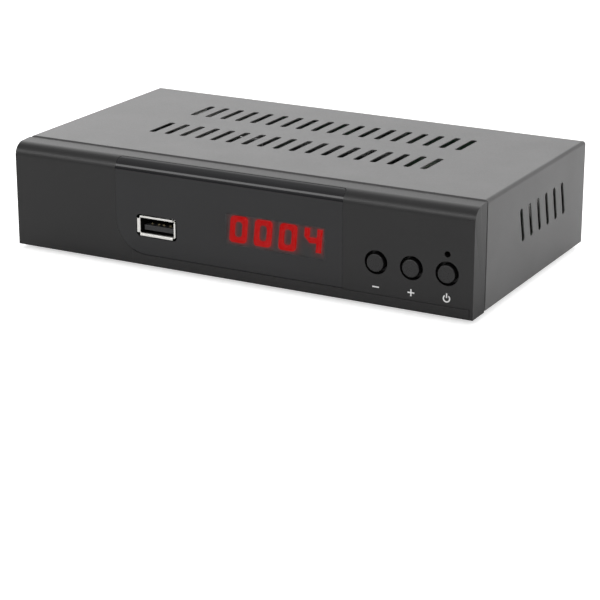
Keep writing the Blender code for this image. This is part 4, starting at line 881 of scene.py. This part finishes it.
def make_feet(look):
    """The rubber feet, each with a round edge and a shallow dish underneath."""
    for place in CORNERS:
        node = f"foot_{place}"
        low, high, middle = extent(node)
        radius, height = (high.x - low.x) / 2, high.z - low.z
        ledge, turn = radius * FOOT_LEDGE_SHARE, FOOT_EDGE * ROUND_SHARE
        profile = [(0.0, FOOT_DISH), (ledge - FOOT_DISH, FOOT_DISH), (ledge, 0.0)]
        profile += [(radius - FOOT_EDGE, 0.0), (radius - turn, turn), (radius, FOOT_EDGE)]
        profile += [(radius, height), (0.0, height)]
        place = (middle.x, middle.y, low.z)
        put_turned(f"{node}_moulded", profile, place, UP, look, "rubber", node)


def make_aerial_sockets(metal, core_plastic):
    """The two threaded aerial sockets, each with its nut and its white core."""
    for name in ("satellite_in", "satellite_out"):
        node = f"{name}_socket"
        low, high, middle = extent(node)
        tip, radius, length = high.y, AERIAL_RADIUS, high.y - low.y
        collar, collar_top = (high.x - low.x) / 2, AERIAL_COLLAR - length
        profile = [(0.0, -AERIAL_WELL), (AERIAL_CORE, -AERIAL_WELL), (AERIAL_CORE, 0.0)]
        profile.append((radius - AERIAL_TIP_EDGE, 0.0))
        height = -AERIAL_TIP_EDGE
        while height > collar_top + AERIAL_THREAD_PITCH:
            profile.append((radius, height))
            profile.append((radius - AERIAL_THREAD_DEPTH, height - AERIAL_THREAD_PITCH / 2))
            height -= AERIAL_THREAD_PITCH
        profile += [(radius, collar_top), (collar, collar_top), (collar, -length), (0.0, -length)]
        place = (middle.x, tip, middle.z)
        put_turned(f"{name}_thread", profile, place, BACK, metal, "nickel", node)
        core = [(0.0, -AERIAL_BORE_DEPTH), (AERIAL_BORE, -AERIAL_BORE_DEPTH)]
        core += [(AERIAL_BORE, -AERIAL_CORE_FRONT), (AERIAL_CORE, -AERIAL_CORE_FRONT)]
        core += [(AERIAL_CORE, -AERIAL_CORE_BACK), (0.0, -AERIAL_CORE_BACK)]
        put_turned(f"{name}_core", core, place, BACK, core_plastic, "white_plastic", sides=32)
        flats = circle(middle.x, middle.z, AERIAL_NUT, 6)
        hole = circle(middle.x, middle.z, radius - AERIAL_THREAD_DEPTH)
        start = PANEL_BACK_Y + MERGE
        nut = prism(f"{name}_nut", [flats, hole], start, start + AERIAL_NUT_THICKNESS, "Y")
        put(bevel(nut, SOFT_ROUND, angle=STEEP_EDGE), metal, "nickel", angle=TURNED_EDGE)


def make_phono_sockets(metal):
    """The three phono sockets: a plated barrel with a coloured insert in each."""
    for name, (hue, colour) in PHONO_COLOURS.items():
        look = surface(f"phono_{hue}", colour, 0.35, grain=0.0006, wear=0.1)
        node = f"{name}_barrel"
        low, high, middle = extent(node)
        radius, length = (high.x - low.x) / 2, high.y - low.y
        place = (middle.x, high.y, middle.z)
        inner, edge = radius - PHONO_WALL, PHONO_RIM_EDGE
        tube = [(inner, -length), (radius, -length), (radius, -PHONO_RIM), (radius - edge, -edge)]
        tube += [(radius - PHONO_WALL / 2, 0.0), (inner + edge, -edge), (inner, -PHONO_RIM)]
        tube.append((inner, -length))
        put_turned(f"{name}_tube", tube, place, BACK, metal, "nickel", node)
        node = f"{name}_insert"
        low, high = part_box(node)
        radius, length = (high.x - low.x) / 2, high.y - low.y
        bore, edge = PHONO_BORE, PHONO_EDGE
        core = [(0.0, -PHONO_BORE_DEPTH), (bore, -PHONO_BORE_DEPTH), (bore, -edge), (bore + edge, 0.0)]
        core += [(radius - edge, 0.0), (radius, -edge), (radius, -length), (0.0, -length)]
        place = (middle.x, high.y, middle.z)
        put_turned(f"{name}_core", core, place, BACK, look, f"{hue}_plastic", node)


def make_capacitors(sleeve, metal):
    """The two capacitors: a sleeve with a bead near its foot and a bare metal top."""
    for name in ("big_capacitor", "small_capacitor"):
        low, high, middle = extent(name)
        radius, height = (high.x - low.x) / 2, high.z - low.z
        lid, turn = radius * CAN_LID_SHARE, CAN_EDGE * ROUND_SHARE
        foot, top = height - CAN_LID_FOOT, height - CAN_LID_TOP
        profile = [(lid, foot), (lid, height), (radius - turn, height - turn)]
        profile += [(radius, height - CAN_EDGE), (radius, CAN_BEAD_RISE + CAN_BEAD)]
        profile += [(radius - CAN_BEAD, CAN_BEAD_RISE), (radius, CAN_BEAD_RISE - CAN_BEAD)]
        profile += [(radius, 0.0), (0.0, 0.0), (0.0, foot), (lid, foot)]
        place = (middle.x, middle.y, low.z)
        put_turned(f"{name}_sleeve", profile, place, UP, sleeve, "capacitor_sleeve", name)
        disc = rectangle(0.0, foot, lid, top)
        put_turned(f"{name}_top", disc, place, UP, metal, "sink_metal", sides=32)


def feed(node, socket, value):
    """Gives a node's input a value: an output to link, or a number or a colour to set."""
    if isinstance(value, bpy.types.NodeSocket):
        node.id_data.links.new(value, node.inputs[socket])
    else:
        node.inputs[socket].default_value = value


def node_material(name, colour, roughness, metallic=0.0, **sockets):
    """Makes a Principled material and returns it with its tree and its shader."""
    made = bpy.data.materials.new(name)
    made.use_nodes = True
    tree = made.node_tree
    shader = tree.nodes["Principled BSDF"]
    feed(shader, "Base Color", (*colour, 1.0))
    feed(shader, "Roughness", roughness)
    feed(shader, "Metallic", metallic)
    for socket, value in sockets.items():
        feed(shader, socket.replace("_", " "), value)
    return made, tree, shader


def place_in(tree, source, kind):
    """Adds a node fed with places: Object ones for a piece, or Generated ones for the world."""
    made = tree.nodes.new(kind)
    feed(made, "Vector", tree.nodes.new("ShaderNodeTexCoord").outputs[source])
    return made


def noise(tree, size, detail, stretch=(1.0, 1.0, 1.0)):
    """Noise in the piece's own coordinates, with grains of about a size in metres."""
    mapping = place_in(tree, "Object", "ShaderNodeMapping")
    feed(mapping, "Scale", stretch)
    grain = tree.nodes.new("ShaderNodeTexNoise")
    feed(grain, "Scale", 1.0 / size)
    feed(grain, "Detail", detail)
    feed(grain, "Vector", mapping.outputs["Vector"])
    return grain.outputs["Fac"]


def spread_value(tree, source, low, high, source_low=0.3, source_high=0.7, kind="LINEAR"):
    """Maps a value to a range."""
    ranged = tree.nodes.new("ShaderNodeMapRange")
    ranged.interpolation_type = kind
    feed(ranged, "From Min", source_low)
    feed(ranged, "From Max", source_high)
    feed(ranged, "To Min", low)
    feed(ranged, "To Max", high)
    feed(ranged, "Value", source)
    return ranged.outputs["Result"]


def blend(tree, factor, first, second):
    """Mixes two colours, each a colour or a socket."""
    mix = tree.nodes.new("ShaderNodeMix")
    mix.data_type = "RGBA"
    for socket, value in (("A", first), ("B", second)):
        feed(mix, socket, value if isinstance(value, bpy.types.NodeSocket) else (*value, 1.0))
    feed(mix, "Factor", factor)
    return mix.outputs["Result"]


def calculate(tree, operation, first, second):
    """Joins two values, each a number or a socket."""
    step = tree.nodes.new("ShaderNodeMath")
    step.operation = operation
    feed(step, 0, first)
    feed(step, 1, second)
    return step.outputs["Value"]


def surface(
    name, colour, roughness, metallic=0.0, grain=0.0004, relief=0.0, mottle=0.06, wear=0.0,
    uneven=0.04, stretch=(1.0, 1.0, 1.0), shade=0.0, **sockets
):
    """A finish with fine relief, uneven gloss, uneven colour, paler worn edges and, where asked, painted
    shade: gloss taken away in crevices by ambient occlusion.
    """
    made, tree, shader = node_material(name, colour, roughness, metallic, **sockets)
    fine = noise(tree, grain, 4.0, stretch)
    broad = noise(tree, BROAD_GRAIN, 2.0)
    feed(shader, "Roughness", spread_value(tree, fine, roughness - uneven, roughness + uneven))
    darker, lighter = [c * (1 - mottle) for c in colour], [c * (1 + mottle) for c in colour]
    tint = blend(tree, spread_value(tree, broad, 0.0, 1.0), darker, lighter)
    if wear:
        geometry = tree.nodes.new("ShaderNodeNewGeometry")
        edge = spread_value(tree, geometry.outputs["Pointiness"], 0.0, wear, *WEAR_RANGE)
        worn = calculate(tree, "MULTIPLY", edge, spread_value(tree, fine, 0.4, 1.0))
        tint = blend(tree, worn, tint, [min(1.0, c * 3 + 0.02) for c in colour])
    feed(shader, "Base Color", tint)
    # Painted shade: ambient occlusion takes the gloss away in crevices, so holes and gaps render darker
    if shade:
        hidden = tree.nodes.new("ShaderNodeAmbientOcclusion")
        feed(hidden, "Distance", shade)
        open_share = spread_value(tree, hidden.outputs["AO"], 0.0, 1.0, *PAINTED_SHADE_RANGE)
        feed(shader, "Specular IOR Level", calculate(tree, "MULTIPLY", open_share, FULL_SPECULAR))
    if relief:
        bump = tree.nodes.new("ShaderNodeBump")
        feed(bump, "Strength", 0.6)
        feed(bump, "Distance", relief)
        feed(bump, "Height", fine)
        feed(shader, "Normal", bump.outputs["Normal"])
    return made


def window_finish():
    """The window's glossy black plastic, see-through only in front of the lit figures."""
    made = surface("window_plastic", (0.005, 0.005, 0.006), 0.1, grain=0.003, mottle=0.2, uneven=0.02)
    tree = made.node_tree
    split = place_in(tree, "Object", "ShaderNodeSeparateXYZ")
    low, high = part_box("display_digit_1")[0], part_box("display_digit_4")[1]
    soft = CLEAR_SOFTNESS
    clear = 1.0
    for axis, start, end in (("X", low.x, high.x + CLEAR_REACH_X), ("Z", low.z, high.z + CLEAR_REACH_Z)):
        value = split.outputs[axis]
        rising = spread_value(tree, value, 0.0, 1.0, start - soft, start, "SMOOTHSTEP")
        falling = spread_value(tree, value, 1.0, 0.0, end, end + soft, "SMOOTHSTEP")
        clear = calculate(tree, "MULTIPLY", clear, calculate(tree, "MULTIPLY", rising, falling))
    alpha = spread_value(tree, clear, 1.0, CLEAR_ALPHA, 0.0, 1.0)
    side = tree.nodes.new("ShaderNodeNewGeometry")
    outside = spread_value(tree, side.outputs["Backfacing"], 1.0, 0.0, 0.0, 1.0)
    alpha = calculate(tree, "MULTIPLY", alpha, outside)
    feed(tree.nodes["Principled BSDF"], "Alpha", alpha)
    return made


def display_finish():
    """The display's dark face: grey light given off as a painted reflection, and a painted red glow close
    to the lit figures.
    """
    black = (0.004, 0.004, 0.004)
    made = surface("display_face", black, 0.6, grain=0.003, mottle=0.2, Specular_IOR_Level=0.0)
    tree = made.node_tree
    shader = tree.nodes["Principled BSDF"]
    # Painted glow: how strongly red light is painted on the face round the figures
    stored = tree.nodes.new("ShaderNodeAttribute")
    stored.attribute_name = "glow"
    # Painted reflection: faint grey light from the face, as bright as the window's reflection round it
    painted_reflection = spread_value(tree, noise(tree, 0.004, 1.0), PAINTED_REFLECTION_LEVEL * 0.96, PAINTED_REFLECTION_LEVEL * 1.04)
    feed(shader, "Emission Color", blend(tree, stored.outputs["Fac"], painted_reflection, PAINTED_GLOW_COLOUR))
    feed(shader, "Emission Strength", 1.0)
    return made


def lit_finish():
    """The red light of the figures, a little uneven along its strokes."""
    made, tree, shader = node_material("red_light", (0.01, 0.0, 0.0), 0.6, Specular_IOR_Level=0.0)
    feed(shader, "Emission Color", (1.0, 0.006, 0.006, 1.0))
    feed(shader, "Emission Strength", spread_value(tree, noise(tree, 0.0012, 1.0), 0.46, 0.54))
    return made


def galvanised_finish():
    """Zinc-plated sheet with its faint crystals."""
    made = surface("plated_steel", (0.58, 0.58, 0.57), 0.34, 1.0, grain=0.0012, stretch=(0.2, 1.0, 1.0))
    tree = made.node_tree
    shader = tree.nodes["Principled BSDF"]
    cells = place_in(tree, "Object", "ShaderNodeTexVoronoi")
    feed(cells, "Scale", CRYSTALS)
    split = tree.nodes.new("ShaderNodeSeparateColor")
    feed(split, "Color", cells.outputs["Color"])
    tint = blend(tree, split.outputs["Red"], (0.52, 0.52, 0.51), (0.64, 0.64, 0.62))
    feed(shader, "Base Color", tint)
    feed(shader, "Roughness", spread_value(tree, split.outputs["Green"], 0.28, 0.42, 0.0, 1.0))
    return made


def board_finish():
    """Green lacquer over paler copper tracks."""
    made = surface("green_board", (0.012, 0.085, 0.032), 0.35, grain=0.002, mottle=0.15)
    tree = made.node_tree
    shader = tree.nodes["Principled BSDF"]
    tracks = place_in(tree, "Object", "ShaderNodeTexVoronoi")
    tracks.feature = "DISTANCE_TO_EDGE"
    feed(tracks, "Scale", TRACKS)
    line = spread_value(tree, tracks.outputs["Distance"], 1.0, 0.0, 0.03, 0.08)
    base = shader.inputs["Base Color"].links[0].from_socket
    feed(shader, "Base Color", blend(tree, line, base, (0.03, 0.16, 0.06)))
    return made


def make_camera():
    """The camera that saw the photograph."""
    camera = add("camera", bpy.data.cameras.new("camera"))
    camera.location = CAMERA_PLACE
    camera.rotation_euler = (math.pi / 2 - CAMERA_DROP, 0.0, CAMERA_TURN)
    camera.data.lens = CAMERA_LENS
    camera.data.sensor_width = CAMERA_SENSOR
    camera.data.clip_start = 0.01
    bpy.context.scene.camera = camera


def soft_light(name, place, target, width, height, watts, mirrored=True):
    """A soft rectangular light aimed at a point, shown in reflections unless told otherwise."""
    data = bpy.data.lights.new(name, "AREA")
    data.shape = "RECTANGLE"
    data.size = width
    data.size_y = height
    data.energy = watts
    lamp = add(name, data)
    lamp.location = place
    lamp.rotation_euler = (Vector(target) - Vector(place)).to_track_quat("-Z", "Y").to_euler()
    lamp.visible_camera = False
    lamp.visible_glossy = mirrored


def make_world():
    """A white room whose reflections are darker in front, low down and high up, and at the rear right."""
    world = bpy.data.worlds.new("world")
    bpy.context.scene.world = world
    world.use_nodes = True
    tree = world.node_tree
    place = place_in(tree, "Generated", "ShaderNodeSeparateXYZ").outputs
    low_front = spread_value(tree, place["Z"], *LOW_FRONT, "SMOOTHSTEP")
    high_front = spread_value(tree, place["Z"], *HIGH_FRONT, "SMOOTHSTEP")
    front = calculate(tree, "ADD", low_front, high_front)
    facing = spread_value(tree, place["Y"], *FACING_FRONT, "SMOOTHSTEP")
    left = spread_value(tree, place["X"], *REAR_LEFT, "SMOOTHSTEP")
    right = spread_value(tree, place["X"], *REAR_RIGHT, "SMOOTHSTEP")
    behind = calculate(tree, "MULTIPLY", left, right)
    seen = blend(tree, facing, behind, front)
    ray = tree.nodes.new("ShaderNodeLightPath").outputs
    mirrored = calculate(tree, "MAXIMUM", ray["Is Glossy Ray"], ray["Is Transmission Ray"])
    level = blend(tree, mirrored, (ROOM_LIGHT, ROOM_LIGHT, ROOM_LIGHT), seen)
    level = blend(tree, ray["Is Camera Ray"], level, (1.0, 1.0, 1.0))
    sky = tree.nodes["Background"]
    feed(sky, "Color", level)
    feed(sky, "Strength", 1.0)


def make_stage():
    """The pale floor and the soft lights."""
    floor = box("floor", (-3.0, -3.0, -0.01), (3.0, 3.0, 0.0))
    made, tree, shader = node_material("floor", (0.7, 0.7, 0.7), 0.9, Specular_IOR_Level=0.0)
    feed(shader, "Emission Color", (1.0, 1.0, 1.0, 1.0))
    ray = tree.nodes.new("ShaderNodeLightPath").outputs
    feed(shader, "Emission Strength", calculate(tree, "MULTIPLY", ray["Is Camera Ray"], FLOOR_LIGHT))
    floor.data.materials.append(made)
    soft_light("overhead_softbox", *OVERHEAD_LIGHT, mirrored=False)
    soft_light("front_softbox", *FRONT_LIGHT)
    soft_light("side_softbox", *SIDE_LIGHT, mirrored=False)


def dress_nodes(tin, dark):
    """Finishes of the frame's own pieces that stay."""
    black = surface("black_plastic", (0.018, 0.018, 0.019), 0.45, relief=0.00001, wear=0.3)
    nickel = surface("plated_shell", (0.68, 0.66, 0.62), 0.24, 1.0, grain=0.0006, wear=0.3)
    white = surface("white_housing", (0.7, 0.7, 0.67), 0.45, wear=0.2)
    resin = surface("chip_resin", (0.022, 0.022, 0.023), 0.6, grain=0.0002, relief=0.00001, wear=0.2)
    brushed = (1.0, 0.15, 1.0)
    sink = surface("sink_metal", (0.5, 0.51, 0.53), 0.35, 1.0, grain=0.0008, stretch=brushed, wear=0.3)
    ribbon = surface("ribbon_grey", (0.45, 0.46, 0.48), 0.5, grain=0.0012, stretch=(1.0, 0.05, 0.05))
    lens = surface("lamp_plastic", (0.05, 0.01, 0.01), 0.15)
    stem = surface("stem_plastic", (0.16, 0.1, 0.06), 0.5, wear=0.2)
    board = board_finish()
    dress(tin, 0.0, "chassis_tray", "tuner_can")
    dress(board, 0.0, "main_board", "front_board")
    dress(nickel, FINE_ROUND, "hdmi_shell", "power_pin")
    dress(black, SOFT_ROUND, "hdmi_tongue", "phono_block", "power_jack", "infrared_receiver")
    dress(white, SOFT_ROUND, "main_header", "front_header")
    dress(resin, FINE_ROUND, "main_chip", "memory_chip")
    dress(sink, FINE_ROUND, "heat_sink")
    dress(ribbon, 0.0, "ribbon_cable")
    dress(lens, 0.0, "standby_lamp")
    for name in BUTTONS:
        dress(tin, FINE_ROUND, f"{name}_switch")
        dress(stem, FINE_ROUND, f"{name}_plunger")
    make_capacitors(surface("capacitor_sleeve", (0.02, 0.025, 0.06), 0.35, grain=0.001), sink)
    make_screws(dark, tin)


def main():
    """Builds the scene."""
    bpy.context.scene.view_settings.view_transform = "Standard"
    make_camera()
    make_world()
    make_stage()
    paint = surface("cover_paint", (0.12, 0.119, 0.119), 0.48, grain=0.00035, relief=0.00002)
    # The moulded plastics get painted shade, their gloss taken away in crevices
    moulded = {"grain": 0.0003, "mottle": 0.15, "shade": PAINTED_SHADE_REACH}
    plastic = surface("front_plastic", (0.0048, 0.0045, 0.0047), 0.38, relief=0.000006, **moulded)
    satin = surface("button_plastic", (0.005, 0.0047, 0.005), 0.3, relief=0.000004, **moulded)
    nickel = surface("nickel", (0.84, 0.83, 0.8), 0.18, 1.0, grain=0.0006)
    # Painted shade: near black and barely glossy, for the sleeve in the USB bore
    painted_shade_sleeve = surface("painted_shade_plastic", (0.004, 0.004, 0.004), 0.8, Specular_IOR_Level=0.1)
    gold = surface("contact_gold", (0.35, 0.29, 0.18), 0.35, 1.0, grain=0.0006)
    tongue = surface("tongue_plastic", (0.02, 0.02, 0.021), 0.4, relief=0.000005)
    ink = surface("white_ink", (0.7, 0.7, 0.7), 0.5, grain=0.0003)
    rubber = surface("rubber", (0.016, 0.016, 0.016), 0.8, grain=0.0003, relief=0.00003)
    dark_steel = surface("screw_steel", (0.09, 0.09, 0.1), 0.38, 1.0, wear=0.6)
    make_cover(paint)
    make_front(plastic)
    make_window(window_finish())
    make_buttons(satin)
    make_figures(lit_finish())
    make_display_face(display_finish())
    make_signs(ink)
    make_usb_shell(nickel, painted_shade_sleeve)
    make_usb_tongue(tongue, gold)
    make_feet(rubber)
    make_aerial_sockets(nickel, surface("core_white", (0.75, 0.74, 0.7), 0.4, grain=0.0006))
    make_phono_sockets(nickel)
    dress_nodes(galvanised_finish(), dark_steel)


main()
